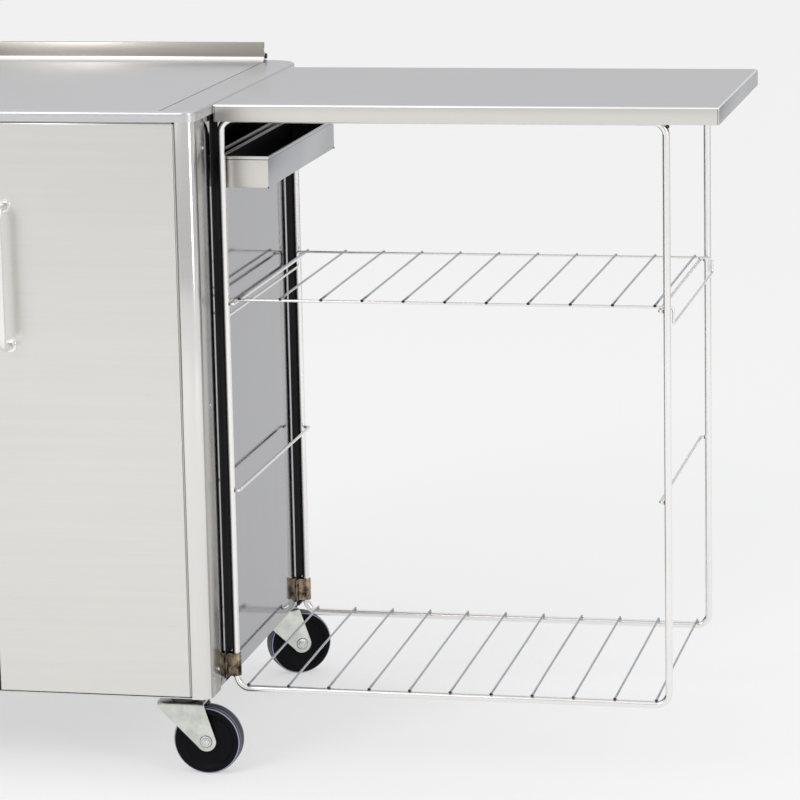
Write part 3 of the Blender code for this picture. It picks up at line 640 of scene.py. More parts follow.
class FinishBook:
    """Makes each finish's material once."""

    def __init__(self) -> None:
        """Starts with the shared effects and no material."""
        self.effects = Effects()
        self.made: dict[str, bpy.types.Material] = {}

    def group(self, tree: bpy.types.NodeTree, effect: bpy.types.NodeTree, **values: float | Point3
              ) -> bpy.types.Node:
        """Places an effect in a material.

        Args:
            tree: The material's node tree.
            effect: The shared group.
            **values: Its input values by name.

        Returns:
            The group node.
        """
        node = tree.nodes.new("ShaderNodeGroup")
        node.node_tree = effect
        for label, value in values.items():
            node.inputs[label].default_value = value
        return node

    def mix(self, tree: bpy.types.NodeTree, mask: bpy.types.NodeSocket, first: bpy.types.NodeSocket | Colour,
            second: bpy.types.NodeSocket | Colour) -> bpy.types.NodeSocket:
        """Mixes two colours by a mask.

        Args:
            tree: The material's node tree.
            mask: The share of the second colour.
            first: The first colour or its socket.
            second: The second colour or its socket.

        Returns:
            The mixed colour's socket.
        """
        node = tree.nodes.new("ShaderNodeMix")
        node.data_type = "RGBA"
        tree.links.new(mask, node.inputs[0])
        for index, value in ((6, first), (7, second)):
            if isinstance(value, tuple):
                node.inputs[index].default_value = (*value, 1.0)
            else:
                tree.links.new(value, node.inputs[index])
        return node.outputs[2]

    def material(self, finish: Finish) -> bpy.types.Material:
        """The material of a finish.

        Args:
            finish: The finish.

        Returns:
            Its material, built the first time that it is asked for.
        """
        if finish.name in self.made:
            return self.made[finish.name]
        material = bpy.data.materials.new(finish.name)
        material.use_nodes = True
        tree = material.node_tree
        shader = tree.nodes["Principled BSDF"]
        link = tree.links.new
        place = tree.nodes.new("ShaderNodeTexCoord")
        vector = place.outputs["Object"]

        grain = self.group(tree, self.effects.grain(), Stretch=finish.stretch, Bands=finish.bands)
        smudge = self.group(tree, self.effects.smudge(), Scale=finish.smudge_scale)
        wear = self.group(tree, self.effects.edge_wear(), Width=finish.wear_width, Amount=finish.wear)
        for node in (grain, smudge, wear):
            link(vector, node.inputs["Vector"])

        tone = tree.nodes.new("ShaderNodeMath")
        tone.operation, tone.use_clamp = "MULTIPLY_ADD", True
        link(grain.outputs["Tone"], tone.inputs[0])
        tone.inputs[1].default_value = finish.contrast
        tone.inputs[2].default_value = 0.5 - 0.5 * finish.contrast
        colour = self.mix(tree, tone.outputs[0], finish.dark, finish.colour)
        colour = self.mix(tree, wear.outputs["Mask"], colour, finish.wear_colour)
        metallic_outside_shade = None
        # Painted shade: beside each rod the colour goes near black, and the metal stops being metallic and
        # turns rough.
        if finish.painted_shade_bands:
            split = tree.nodes.new("ShaderNodeSeparateXYZ")
            link(vector, split.inputs[0])
            for centre in finish.painted_shade_bands:
                band = self.group(tree, self.effects.shade_band(), Centre=centre, Half=finish.painted_shade_half)
                link(split.outputs["Y"], band.inputs["Position"])
                colour = self.mix(tree, band.outputs["Mask"], colour, (0.012, 0.011, 0.012))
                less = tree.nodes.new("ShaderNodeMath")
                less.operation = "SUBTRACT"
                less.inputs[0].default_value = finish.metallic
                if metallic_outside_shade:
                    link(metallic_outside_shade, less.inputs[0])
                link(band.outputs["Mask"], less.inputs[1])
                metallic_outside_shade = less.outputs[0]
        link(colour, shader.inputs["Base Color"])

        spread = tree.nodes.new("ShaderNodeMath")
        spread.operation = "MULTIPLY_ADD"
        link(grain.outputs["Tone"], spread.inputs[0])
        spread.inputs[1].default_value = finish.rough_spread
        spread.inputs[2].default_value = finish.roughness - finish.rough_spread / 2
        smear = tree.nodes.new("ShaderNodeMath")
        smear.operation = "MULTIPLY_ADD"
        link(smudge.outputs["Mask"], smear.inputs[0])
        smear.inputs[1].default_value = finish.smudge_rough
        link(spread.outputs[0], smear.inputs[2])
        rough = smear.outputs[0]
        if metallic_outside_shade:
            dull = tree.nodes.new("ShaderNodeMix")
            link(metallic_outside_shade, dull.inputs[0])
            dull.inputs[2].default_value = 0.9
            link(rough, dull.inputs[3])
            rough = dull.outputs[0]
        link(rough, shader.inputs["Roughness"])

        bump = tree.nodes.new("ShaderNodeBump")
        bump.inputs["Strength"].default_value = finish.grain_depth
        bump.inputs["Distance"].default_value = 0.2 * MM
        link(grain.outputs["Height"], bump.inputs["Height"])
        link(bump.outputs["Normal"], shader.inputs["Normal"])

        shader.inputs["Metallic"].default_value = finish.metallic
        if metallic_outside_shade:
            link(metallic_outside_shade, shader.inputs["Metallic"])
        shader.inputs["Coat Weight"].default_value = finish.coat
        shader.inputs["Specular IOR Level"].default_value = finish.specular
        self.made[finish.name] = material
        return material


ALONG_X = (7.0, 1100.0, 1100.0)
ALONG_Y = (1100.0, 7.0, 1100.0)
UPRIGHT = (1100.0, 1100.0, 7.0)
EVEN = (260.0, 260.0, 260.0)

FRONT_STEEL = Finish("brushed_front_steel", (0.80, 0.785, 0.75), (0.70, 0.685, 0.65), roughness=0.30,
                     stretch=ALONG_X, grain_depth=0.09, wear=0.5)
TOP_STEEL = Finish("brushed_top_steel", (0.67, 0.67, 0.68), (0.60, 0.60, 0.61), roughness=0.33,
                   rough_spread=0.08, stretch=ALONG_X, grain_depth=0.04, wear=0.9,
                   wear_colour=(0.98, 0.98, 0.96))
COLUMN_STEEL = Finish("polished_column_steel", (0.82, 0.81, 0.79), (0.72, 0.71, 0.69), roughness=0.13,
                      rough_spread=0.06, stretch=UPRIGHT, grain_depth=0.03, wear=0.5)
# Painted highlight: a near-white, rougher copy of the steel for the faces of the rolled edges.
EDGE_PAINTED_HIGHLIGHT = Finish("rolled_edge_painted_highlight", (1.0, 1.0, 0.99), (0.93, 0.93, 0.92), roughness=0.42,
                    rough_spread=0.06, stretch=ALONG_X, grain_depth=0.03, wear=0.0)
# Painted reflection: a darker brown-grey copy of the top steel for the upstand's upper faces, standing in for
# the dark room that they reflect.
UPSTAND_DARK_REFLECTION = Finish("upstand_painted_dark_reflection", (0.47, 0.44, 0.40), (0.38, 0.355, 0.32), roughness=0.3,
                       stretch=ALONG_X, grain_depth=0.06, wear=0.5)
# Lit and shaded copies of the table steel: front and back aprons are painted lighter and warmer, and end
# aprons darker and bluer, for how the light falls on each side.
APRON_PAINTED_LIGHT = Finish("apron_front_painted_light", (0.76, 0.735, 0.70), (0.64, 0.62, 0.59), roughness=0.3,
                     stretch=ALONG_X, grain_depth=0.06, wear=0.4)
APRON_SHADE = Finish("apron_end_painted_shade", (0.47, 0.485, 0.51), (0.40, 0.41, 0.435), roughness=0.3,
                     stretch=ALONG_Y, grain_depth=0.06, wear=0.4)
# Painted reflection: a darker, browner copy of the column steel for the flange faces that face sideways,
# standing in for the dark surroundings that they reflect.
FLANGE_DARK_REFLECTION = Finish("column_flange_painted_reflection", (0.52, 0.50, 0.47), (0.34, 0.32, 0.30), roughness=0.24,
                      stretch=UPRIGHT, bands=0.7, grain_depth=0.04, wear=0.4)
SEAL_GREY = Finish("pale_door_seal", (0.50, 0.485, 0.46), (0.40, 0.385, 0.36), metallic=0.0, roughness=0.6,
                   stretch=UPRIGHT, grain_depth=0.08, wear=0.0)
# Mirror-polished side steel, as the real panels have. Its dark base colour is a painted reflection of the
# dark surroundings that the mirror shows.
SIDE_STEEL = Finish("mirror_side_steel_dark_reflection", (0.34, 0.34, 0.36), (0.28, 0.28, 0.295), roughness=0.06,
                    rough_spread=0.03, stretch=UPRIGHT, grain_depth=0.015, wear=0.3, smudge_rough=0.05,
                    specular=0.05)
BACK_STEEL = Finish("brushed_back_steel", (0.66, 0.66, 0.67), (0.56, 0.56, 0.57), roughness=0.30,
                    stretch=ALONG_X, grain_depth=0.08)
TRAY_STEEL = Finish("brushed_tray_steel", (0.75, 0.73, 0.695), (0.64, 0.62, 0.59), roughness=0.32,
                    stretch=ALONG_Y, grain_depth=0.08, wear=0.9)
# Painted shade: a near-black copy of the tray steel for the inside of the tray and the line under its rim,
# where shade falls under the table.
TRAY_PAINTED_SHADE = Finish("tray_painted_shade_steel", (0.05, 0.048, 0.05), (0.02, 0.02, 0.022), roughness=0.45,
                    stretch=ALONG_Y, grain_depth=0.08, wear=0.2)
ROD_CHROME = Finish("chromed_rod", (0.93, 0.92, 0.90), (0.84, 0.82, 0.80), roughness=0.17,
                    rough_spread=0.06, stretch=EVEN, grain_depth=0.02, smudge_rough=0.14, wear=0.0)
WIRE_STEEL = Finish("drawn_wire", (0.56, 0.57, 0.61), (0.42, 0.43, 0.47), roughness=0.22,
                    rough_spread=0.06, stretch=EVEN, grain_depth=0.02, smudge_rough=0.14, wear=0.0)
BURNT_WELD = Finish("burnt_weld", (0.09, 0.07, 0.06), (0.02, 0.018, 0.018), roughness=0.45,
                    stretch=EVEN, grain_depth=0.25, wear=0.0)
WELD_STEEL = Finish("tinted_weld", (0.30, 0.24, 0.19), (0.10, 0.09, 0.10), roughness=0.38,
                    stretch=EVEN, grain_depth=0.25, wear=0.0)
ZINC = Finish("zinc_plate", (0.84, 0.84, 0.78), (0.52, 0.55, 0.51), roughness=0.34, rough_spread=0.16,
              stretch=(60.0, 60.0, 60.0), bands=0.3, grain_depth=0.05, smudge_scale=30.0, wear=0.8,
              contrast=2.6)
SHADED_ZINC = Finish("shaded_zinc", (0.10, 0.10, 0.095), (0.03, 0.03, 0.03), roughness=0.4,
                     stretch=(60.0, 60.0, 60.0), grain_depth=0.05, wear=0.6, wear_colour=(0.4, 0.4, 0.38))
CLIP_ZINC = Finish("tarnished_zinc", (0.44, 0.35, 0.24), (0.02, 0.014, 0.011), roughness=0.30,
                   rough_spread=0.16, stretch=(110.0, 110.0, 70.0), bands=0.2, grain_depth=0.1, wear=0.9,
                   wear_colour=(0.85, 0.74, 0.55), contrast=5.0)
BOLT_ZINC = Finish("bright_bolt", (0.80, 0.81, 0.79), (0.62, 0.63, 0.62), roughness=0.22, stretch=EVEN,
                   grain_depth=0.04, wear=0.9)
BLACK_SCREW = Finish("black_screw", (0.03, 0.03, 0.033), (0.015, 0.015, 0.016), metallic=0.6,
                     roughness=0.42, stretch=EVEN, grain_depth=0.05, wear=0.5, wear_colour=(0.3, 0.3, 0.3))
WHEEL_BLACK = Finish("wheel_rubber", (0.004, 0.004, 0.005), (0.002, 0.002, 0.003), metallic=0.0,
                     roughness=0.5, stretch=(140.0, 140.0, 140.0), grain_depth=0.12, wear=0.35,
                     wear_colour=(0.04, 0.04, 0.06), specular=0.10)
TREAD = Finish("worn_tread", (0.035, 0.035, 0.055), (0.008, 0.008, 0.012), metallic=0.0, roughness=0.5,
               stretch=(40.0, 40.0, 40.0), bands=0.6, grain_depth=0.2, wear=0.3,
               wear_colour=(0.4, 0.42, 0.48), specular=0.4)
# Painted highlight: a pale blue-grey for the tread's groove rings and outer edges, standing in for the sheen
# of light along them.
TREAD_PAINTED_HIGHLIGHT = Finish("tread_painted_highlight", (0.46, 0.49, 0.62), (0.16, 0.17, 0.25), metallic=0.0, roughness=0.5,
                    stretch=(40.0, 40.0, 40.0), bands=0.6, grain_depth=0.2, wear=0.0, specular=0.4)
# Near black for real dark seams and notches, and for thin dark pieces that paint the shade in gaps and
# hollows.
DARK_JOINT_AND_SHADE = Finish("dark_joint_and_painted_shade", (0.02, 0.018, 0.018), (0.01, 0.01, 0.01), metallic=0.0, roughness=0.7,
                  stretch=EVEN, grain_depth=0.05, wear=0.0, specular=0.2)


@dataclass
class SubAssembly:
    """What every sub-assembly shares: the finish book and how a piece is placed."""

    book: FinishBook

    def place(self, piece: bpy.types.Object, finish: Finish, body: str = "cart", slot: Slot = Slot.SHEET,
              nodes: Sequence[str] = ()) -> bpy.types.Object:
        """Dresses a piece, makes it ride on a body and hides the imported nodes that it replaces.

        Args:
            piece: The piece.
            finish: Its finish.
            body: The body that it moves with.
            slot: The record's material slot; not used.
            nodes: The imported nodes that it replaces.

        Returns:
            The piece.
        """
        if not piece.data.materials:
            piece.data.materials.append(self.book.material(finish))
        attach(piece, body)
        if nodes:
            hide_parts(*nodes)
        LOG.info("%s: %s on %s, %d faces", piece.name, finish.name, body, len(piece.data.polygons))
        return piece

    def dress(self, node: str, finish: Finish) -> None:
        """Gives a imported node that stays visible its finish.

        Args:
            node: The node's name.
            finish: Its finish.
        """
        item = FRAME["nodes"][node]
        item.data.materials.clear()
        item.data.materials.append(self.book.material(finish))
        LOG.info("%s: %s, as packed", node, finish.name)


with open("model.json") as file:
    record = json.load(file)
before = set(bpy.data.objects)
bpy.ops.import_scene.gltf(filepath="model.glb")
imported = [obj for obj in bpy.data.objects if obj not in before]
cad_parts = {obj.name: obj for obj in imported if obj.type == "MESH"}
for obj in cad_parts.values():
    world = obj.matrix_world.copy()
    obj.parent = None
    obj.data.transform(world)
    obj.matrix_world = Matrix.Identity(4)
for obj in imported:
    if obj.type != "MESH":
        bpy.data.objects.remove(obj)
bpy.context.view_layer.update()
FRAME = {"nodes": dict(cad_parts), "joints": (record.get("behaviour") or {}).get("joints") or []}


@dataclass
class CabinetShell(SubAssembly):
    """The cabinet's top ring, panels, columns and floor."""

    top_radius: float = 4.0 * MM
    groove_depth: float = 0.8 * MM
    lid_gap: float = 1.5 * MM
    lip: float = 9.0 * MM
    groove_drop: float = 5.2 * MM
    front_corner: float = 18.0 * MM
    rear_corner: float = 40.0 * MM
    plate: float = 3.5 * MM
    flange_corner: float = 13.0 * MM
    column_fold: float = 2.4 * MM
    back_corner: float = 37.0 * MM
    back_wrap: float = 52.0 * MM
    opening_rim: float = 9.0 * MM
    opening_front: float = 30.0 * MM
    opening_rear: float = 26.0 * MM
    back_screws: int = 7
    back_margin: float = 60.0 * MM
    flange_inset: float = 9.0 * MM
    flange_screw: float = 2.2 * MM
    jamb: float = 14.0 * MM

    def outline(self, inset: float, low: Vector, high: Vector) -> list[Point2]:
        """The cabinet's plan, moved in from its outer face.

        Args:
            inset: How far it is moved in.
            low: The lowest corner of the top ring.
            high: The highest corner of the top ring.

        Returns:
            The closed outline.
        """
        left, right, near, far = low.x + inset, high.x - inset, low.y + inset, high.y - inset
        small, large = self.front_corner - inset, self.rear_corner - inset
        points = Shapes.arc((right - small, near + small), small, -90, 0, 12)
        points += Shapes.arc((right - large, far - large), large, 0, 90, 16)
        points += Shapes.arc((left + large, far - large), large, 90, 180, 16)
        points += Shapes.arc((left + small, near + small), small, 180, 270, 12)
        return points

    def build_top_ring(self) -> None:
        """Builds the ring round the lid, with its rolled edge and the groove under it."""
        low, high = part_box("top_frame")
        lid_low, lid_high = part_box("lid")
        top, radius = high.z, self.top_radius
        rows = [(0.0, low.z), (0.0, top - self.groove_drop - 0.6 * MM)]
        rows += [(self.groove_depth, top - self.groove_drop - 0.2 * MM)]
        rows += [(self.groove_depth, top - self.groove_drop + 0.5 * MM)]
        rows += [(0.0, top - self.groove_drop + 0.9 * MM)]
        rows += [(radius - x, z) for x, z in Shapes.arc((0, top - radius), radius, 0, 90, 7)]
        loops = [[(x, y, z) for x, y in self.outline(inset, low, high)] for inset, z in rows]
        ring = Shapes.loft("cabinet_top_ring", loops)
        hollow = self.outline(SHEET + self.groove_depth, low, high)
        cutters = [Shapes.prism("hollow", hollow, low.z - MM, top - self.plate - 2 * MM)]
        rim = self.opening_rim
        opening_low = (lid_low.x + rim, low.y + self.opening_front, low.z - 2 * MM)
        opening_high = (lid_high.x - rim, high.y - self.opening_rear, top + 3 * MM)
        cutters.append(Shapes.block("opening", opening_low, opening_high))
        gap = self.lid_gap
        rebate_low = (lid_low.x - gap, low.y + self.lip - 0.6 * MM, top - 1.8 * MM)
        rebate_high = (lid_high.x + gap, high.y - 5 * MM, top + 3 * MM)
        cutters.append(Shapes.block("rebate", rebate_low, rebate_high))
        Shapes.cut(ring, cutters)
        self.place(ring, TOP_STEEL, nodes=["top_frame"])
        floors = []
        for edge, outward in ((lid_low.x, -1), (lid_high.x, 1)):
            reach = sorted((edge + outward * 0.1 * MM, edge + outward * (gap - 0.05 * MM)))
            floors.append(Shapes.block("floor", (reach[0], low.y + self.lip, top - 1.75 * MM),
                                       (reach[1], high.y - 6 * MM, top - 0.9 * MM)))
        self.place(Shapes.join("lid_seam_shadow_strips", floors), DARK_JOINT_AND_SHADE)

    def build_columns(self) -> None:
        """Builds the two rounded front corner columns with their side flanges."""
        for side, sign in (("right", 1), ("left", -1)):
            low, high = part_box(f"corner_column_{side}")
            outer = high.x if sign > 0 else low.x
            inner = low.x if sign > 0 else high.x
            radius = self.front_corner - 2 * MM
            fold = self.column_fold
            path = [(inner, low.y + self.jamb), (inner, low.y + fold)]
            start = Shapes.arc((inner + fold * sign, low.y + fold), fold, 180, 270, 5)
            path += [(p[0] if sign > 0 else 2 * (inner - fold) - p[0], p[1]) for p in start[1:]]
            bend = Shapes.arc((0, 0), radius, -90, 0, 14)
            path += [(outer - sign * radius + sign * x, low.y + radius + y) for x, y in bend]
            path += [(outer, high.y)]
            if sign < 0:
                path = path[::-1]
            outline = Shapes.strip(path, SHEET)
            column = Shapes.prism(f"corner_column_skin_{side}", outline, low.z, high.z)
            corner = self.flange_corner
            centre = (high.y - corner, high.z - 6 * MM - corner)
            tool = Shapes.arc(centre, corner, 90, 0, 10)
            tool += [(high.y + 2 * MM, centre[1]), (high.y + 2 * MM, high.z + MM), (centre[0], high.z + MM)]
            reach = sorted((outer - sign * 5 * MM, outer + sign * 5 * MM))
            Shapes.cut(column, [Shapes.prism("flange_corner", tool, reach[0], reach[1], Axis.X)])
            Shapes.soften(column, 0.45 * MM, 2)
            column.data.materials.append(self.book.material(COLUMN_STEEL))
            column.data.materials.append(self.book.material(FLANGE_DARK_REFLECTION))
            # Flange faces that face sideways take the painted dark reflection.
            for face in column.data.polygons:
                if abs(face.normal.x) > 0.9 and abs(face.center.x - outer) < 2 * MM:
                    face.material_index = 1
            self.place(column, COLUMN_STEEL, nodes=[f"corner_column_{side}"])
            door_low, door_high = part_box(f"door_{side}")
            door_edge = door_high.x if sign > 0 else door_low.x
            reach = sorted((door_edge + sign * 0.15 * MM, inner - sign * 0.15 * MM))
            seal = Shapes.prism(f"door_seal_{side}", [
                (reach[0], low.y + 6 * MM), (reach[1], low.y + 6 * MM), (reach[1], low.y + 1.1 * MM),
                ((reach[0] + reach[1]) / 2, low.y + 0.7 * MM), (reach[0], low.y + 1.1 * MM)],
                door_low.z + MM, door_high.z - MM)
            self.place(seal, SEAL_GREY)
            head = Shapes.prism(f"door_head_seal_{side}", [
                (low.y + 6 * MM, door_high.z + 0.15 * MM), (low.y + 1.0 * MM, door_high.z + 0.15 * MM),
                (low.y + 0.6 * MM, door_high.z + 1.0 * MM), (low.y + 1.0 * MM, door_high.z + 1.9 * MM),
                (low.y + 6 * MM, door_high.z + 1.9 * MM)], door_low.x + MM, door_high.x - MM, Axis.X)
            self.place(head, SEAL_GREY)

    def build_back(self) -> None:
        """Builds the back panel with its two rounded corners and its screws."""
        low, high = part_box("back_panel")
        radius, front_end = self.back_corner, high.y - self.back_wrap
        path = [(high.x, front_end)]
        path += Shapes.arc((high.x - radius, high.y - radius), radius, 0, 90, 18)
        path += Shapes.arc((low.x + radius, high.y - radius), radius, 90, 180, 18)
        path += [(low.x, front_end)]
        panel = Shapes.prism("back_panel_skin", Shapes.strip(path, SHEET), low.z, high.z)
        Shapes.soften(panel, 0.4 * MM, 2)
        self.place(panel, BACK_STEEL, slot=Slot.POLISHED, nodes=["back_panel"])
        heads = []
        margin = self.back_margin
        for i in range(self.back_screws):
            across = low.x + margin + (high.x - low.x - 2 * margin) * i / (self.back_screws - 1)
            for height in (low.z + 12 * MM, high.z - 24 * MM):
                heads.append(Shapes.screw("head", Vector((across, high.y, height)), Vector((0, 1, 0))))
        self.place(Shapes.join("back_panel_screws", heads), BOLT_ZINC, slot=Slot.ZINC)

    def build_side_trim(self) -> None:
        """Builds the screws that hold the side panels in the columns' flanges."""
        heads = []
        for side, sign in (("right", 1), ("left", -1)):
            low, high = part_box(f"side_panel_{side}")
            column_low, column_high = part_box(f"corner_column_{side}")
            flange = column_high.x if sign > 0 else column_low.x
            for height in (low.z + 0.03, (low.z + high.z) / 2, high.z - 0.05):
                place = Vector((flange, column_high.y - self.flange_inset, height))
                heads.append(Shapes.screw("head", place, Vector((sign, 0, 0)), self.flange_screw))
        self.place(Shapes.join("side_flange_screws", heads), BOLT_ZINC, slot=Slot.ZINC)

    def build(self) -> None:
        """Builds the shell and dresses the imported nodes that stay."""
        self.build_top_ring()
        self.build_columns()
        self.build_back()
        self.build_side_trim()
        # Painted shade bands on the right side panel, just behind each rod post, where shade and a dark
        # reflection fall on the panel.
        posts = [sum(c.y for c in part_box(node)) / 2 for node in ("frame_loop_front", "frame_loop_back")]
        centres = (posts[0] + 5.5 * MM, posts[1] + 5.5 * MM)
        side = replace(SIDE_STEEL, painted_shade_bands=centres)
        self.dress("side_panel_right", side)
        # The left side panel is a rougher copy, with the same painted dark reflection in its colour.
        plain = replace(SIDE_STEEL, name="left_side_steel_dark_reflection", roughness=0.12)
        self.dress("side_panel_left", plain)
        self.dress("base_pan", BACK_STEEL)
        self.dress("well_pan", BACK_STEEL)


@dataclass
class Lid(SubAssembly):
    """The lid with its upstand, and its hinge."""

    fillet: float = 8.0 * MM
    crown: float = 5.0 * MM
    lip: float = 9.0 * MM
    setback: float = 20.0 * MM
    turndown: float = 9.0 * MM
    knuckle: float = 5.5 * MM
    ear: float = 6.0 * MM

    def build(self) -> None:
        """Builds the lid's sheet, the dark sheets of painted shadow in the upstand's open ends, and its
        hinge.
        """
        low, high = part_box("lid")
        ring_low, ring_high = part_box("top_frame")
        top = ring_high.z
        face = ring_high.y - self.setback
        start = ring_low.y + self.lip
        path = [(start, top - 0.5 * MM), (start + 0.5 * MM, top)]
        centre = (face - self.fillet, top + self.fillet)
        path += Shapes.arc(centre, self.fillet, -90, 0, 10)
        peak = high.z
        path += [(face, peak - 1.5 * MM), (face + 0.5 * MM, peak - 0.4 * MM), (face + 1.4 * MM, peak)]
        path += [(face + self.crown - 1.2 * MM, peak), (face + self.crown, peak - 0.8 * MM)]
        path += [(face + self.crown, peak - self.turndown)]
        outline = Shapes.strip(path[::-1], SHEET)
        sheet = Shapes.prism("lid_sheet", outline, low.x, high.x, Axis.X)
        Shapes.soften(sheet, 0.35 * MM, 2)
        sheet.data.materials.append(self.book.material(TOP_STEEL))
        sheet.data.materials.append(self.book.material(UPSTAND_DARK_REFLECTION))
        sheet.data.materials.append(self.book.material(EDGE_PAINTED_HIGHLIGHT))
        # Faces of the upstand above the fillet take the painted dark reflection, and the rounded edge faces
        # take the painted highlight.
        for item in sheet.data.polygons:
            if item.center.z > top + 0.8 * self.fillet and item.normal.y < 0.3:
                item.material_index = 1
            elif item.center.z > top + 0.5 * MM and 0.2 < item.normal.z < 0.95:
                item.material_index = 2
        self.place(sheet, TOP_STEEL, "lid", nodes=["lid"])

        # Dark sheets set in the upstand's open ends: painted shadow for the shade inside the fold.
        ends = []
        for edge, inward in ((low.x, 1), (high.x, -1)):
            reach = sorted((edge + inward * 0.4 * MM, edge + inward * 1.8 * MM))
            wedge = [(face + 1.2 * MM, top + 6 * MM), (face + self.crown - 1.3 * MM, top + 6 * MM)]
            wedge += [(face + self.crown - 1.3 * MM, peak - 1.3 * MM), (face + 1.2 * MM, peak - 1.3 * MM)]
            ends.append(Shapes.prism("end", wedge, reach[0], reach[1], Axis.X))
        self.place(Shapes.join("upstand_end_painted_shadow", ends), DARK_JOINT_AND_SHADE, "lid")
        self.build_hinge(low, high, face)

    def build_hinge(self, low: Vector, high: Vector, face: float) -> None:
        """Builds the lid's leaves, the fixed ears and the pins.

        Args:
            low: The lid's lowest corner.
            high: The lid's highest corner.
            face: The Y of the upstand's front face.
        """
        leaves = []
        for side, inward in (("left", 1), ("right", -1)):
            pin_low, pin_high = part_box(f"hinge_pin_{side}")
            axis_y, axis_z = (pin_low.y + pin_high.y) / 2, (pin_low.z + pin_high.z) / 2
            ear_low, ear_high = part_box(f"hinge_ear_{side}")
            edge = low.x if inward > 0 else high.x
            reach = sorted((edge + inward * 4.3 * MM, edge + inward * 6.6 * MM))
            leaf = [(face + SHEET, ear_low.z + 1.2 * MM), (axis_y - 2 * MM, ear_low.z + 1.2 * MM)]
            leaf += Shapes.arc((axis_y, axis_z), self.knuckle, -60, 90, 16)
            leaf += [(face + SHEET, axis_z + 8 * MM)]
            leaves.append(Shapes.soften(Shapes.prism("leaf", leaf, reach[0], reach[1], Axis.X), 0.3 * MM))
            ear = [(axis_y - self.ear, ear_low.z), (axis_y + self.ear, ear_low.z)]
            ear += Shapes.arc((axis_y, axis_z), self.ear, 0, 180, 18)
            plate = Shapes.prism(f"hinge_ear_plate_{side}", ear, ear_low.x, ear_high.x, Axis.X)
            Shapes.soften(plate, 0.35 * MM)
            self.place(plate, BOLT_ZINC, slot=Slot.ZINC, nodes=[f"hinge_ear_{side}"])
            length = pin_high.x - pin_low.x
            profile = [(0.0, 0.0), (3.2 * MM, 0.0), (3.9 * MM, 0.6 * MM), (4 * MM, 1.6 * MM)]
            profile += [(3.7 * MM, 2 * MM), (2.5 * MM, 2 * MM), (2.5 * MM, length - 0.5 * MM)]
            profile += [(2 * MM, length), (0.0, length)]
            pin = Shapes.turned(f"hinge_pin_body_{side}", profile, 32, Axis.X)
            if inward < 0:
                Shapes.move(pin, Matrix.Rotation(math.pi, 4, "Z"))
            start = pin_low.x if inward > 0 else pin_high.x
            Shapes.move(pin, Matrix.Translation((start, axis_y, axis_z)))
            self.place(pin, BLACK_SCREW, slot=Slot.ZINC, nodes=[f"hinge_pin_{side}"])
        self.place(Shapes.join("lid_hinge_leaves", leaves), BOLT_ZINC, "lid", Slot.ZINC)


@dataclass
class Doors(SubAssembly):
    """The two folded doors with their bow handles."""

    fold: float = 2.2 * MM
    handle_radius: float = 5.0 * MM
    handle_bend: float = 16.0 * MM
    washer: float = 9.0 * MM
    overcut: float = 4.0 * MM

    def build(self) -> None:
        """Builds both doors, their handles and the handle washers."""
        for side in ("right", "left"):
            self.build_leaf(side)
            self.build_handle(side)
            self.dress(f"door_hinge_rod_{side}", BOLT_ZINC)

    def build_leaf(self, side: str) -> None:
        """Builds one door as a folded pan with rounded front edges, open at the back.

        Args:
            side: Which door.
        """
        low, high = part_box(f"door_{side}")
        rows = [(0.0, high.y), (0.0, low.y + self.fold)]
        rows += [(self.fold - x, low.y + self.fold - y)
                 for x, y in Shapes.arc((0, 0), self.fold, 0, 90, 6)[1:]]
        loops = []
        for inset, depth in rows:
            outline = [(low.x + inset, low.z + inset), (high.x - inset, low.z + inset)]
            outline += [(high.x - inset, high.z - inset), (low.x + inset, high.z - inset)]
            loops.append([(x, depth, z) for x, z in outline])
        pan = Shapes.loft(f"door_pan_{side}", loops)
        hollow = Shapes.block("hollow", (low.x + SHEET, low.y + SHEET, low.z + SHEET),
                              (high.x - SHEET, high.y + self.overcut, high.z - SHEET))
        Shapes.cut(pan, [hollow])
        self.place(pan, FRONT_STEEL, f"door_{side}", nodes=[f"door_{side}"])

    def build_handle(self, side: str) -> None:
        """Builds one bow handle with a washer under each foot.

        Args:
            side: Which door.
        """
        low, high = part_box(f"door_handle_{side}")
        x = (low.x + high.x) / 2
        bottom, top = low.z + self.handle_radius, high.z - self.handle_radius
        front = low.y + self.handle_radius
        corners = [(x, high.y, bottom), (x, front, bottom), (x, front, top), (x, high.y, top)]
        path = Shapes.rounded_path(corners, self.handle_bend, closed=False, steps=14)
        bow = Shapes.tube("bow", path, self.handle_radius, sides=28)
        feet = []
        for height in (bottom, top):
            profile = [(0.0, 0.0), (self.washer, 0.0), (self.washer, 0.7 * MM)]
            profile += [(self.washer - 0.5 * MM, 1.2 * MM)]
            profile += [(self.handle_radius + 0.3 * MM, 1.3 * MM), (0.0, 1.3 * MM)]
            foot = Shapes.turned("foot", profile, 32, Axis.Y)
            Shapes.move(foot, Matrix.Rotation(math.pi, 4, "Z"))
            feet.append(Shapes.move(foot, Matrix.Translation((x, high.y, height))))
        handle = Shapes.join(f"bow_handle_{side}", [bow, *feet])
        self.place(handle, ROD_CHROME, f"door_{side}", Slot.ROD, nodes=[f"door_handle_{side}"])


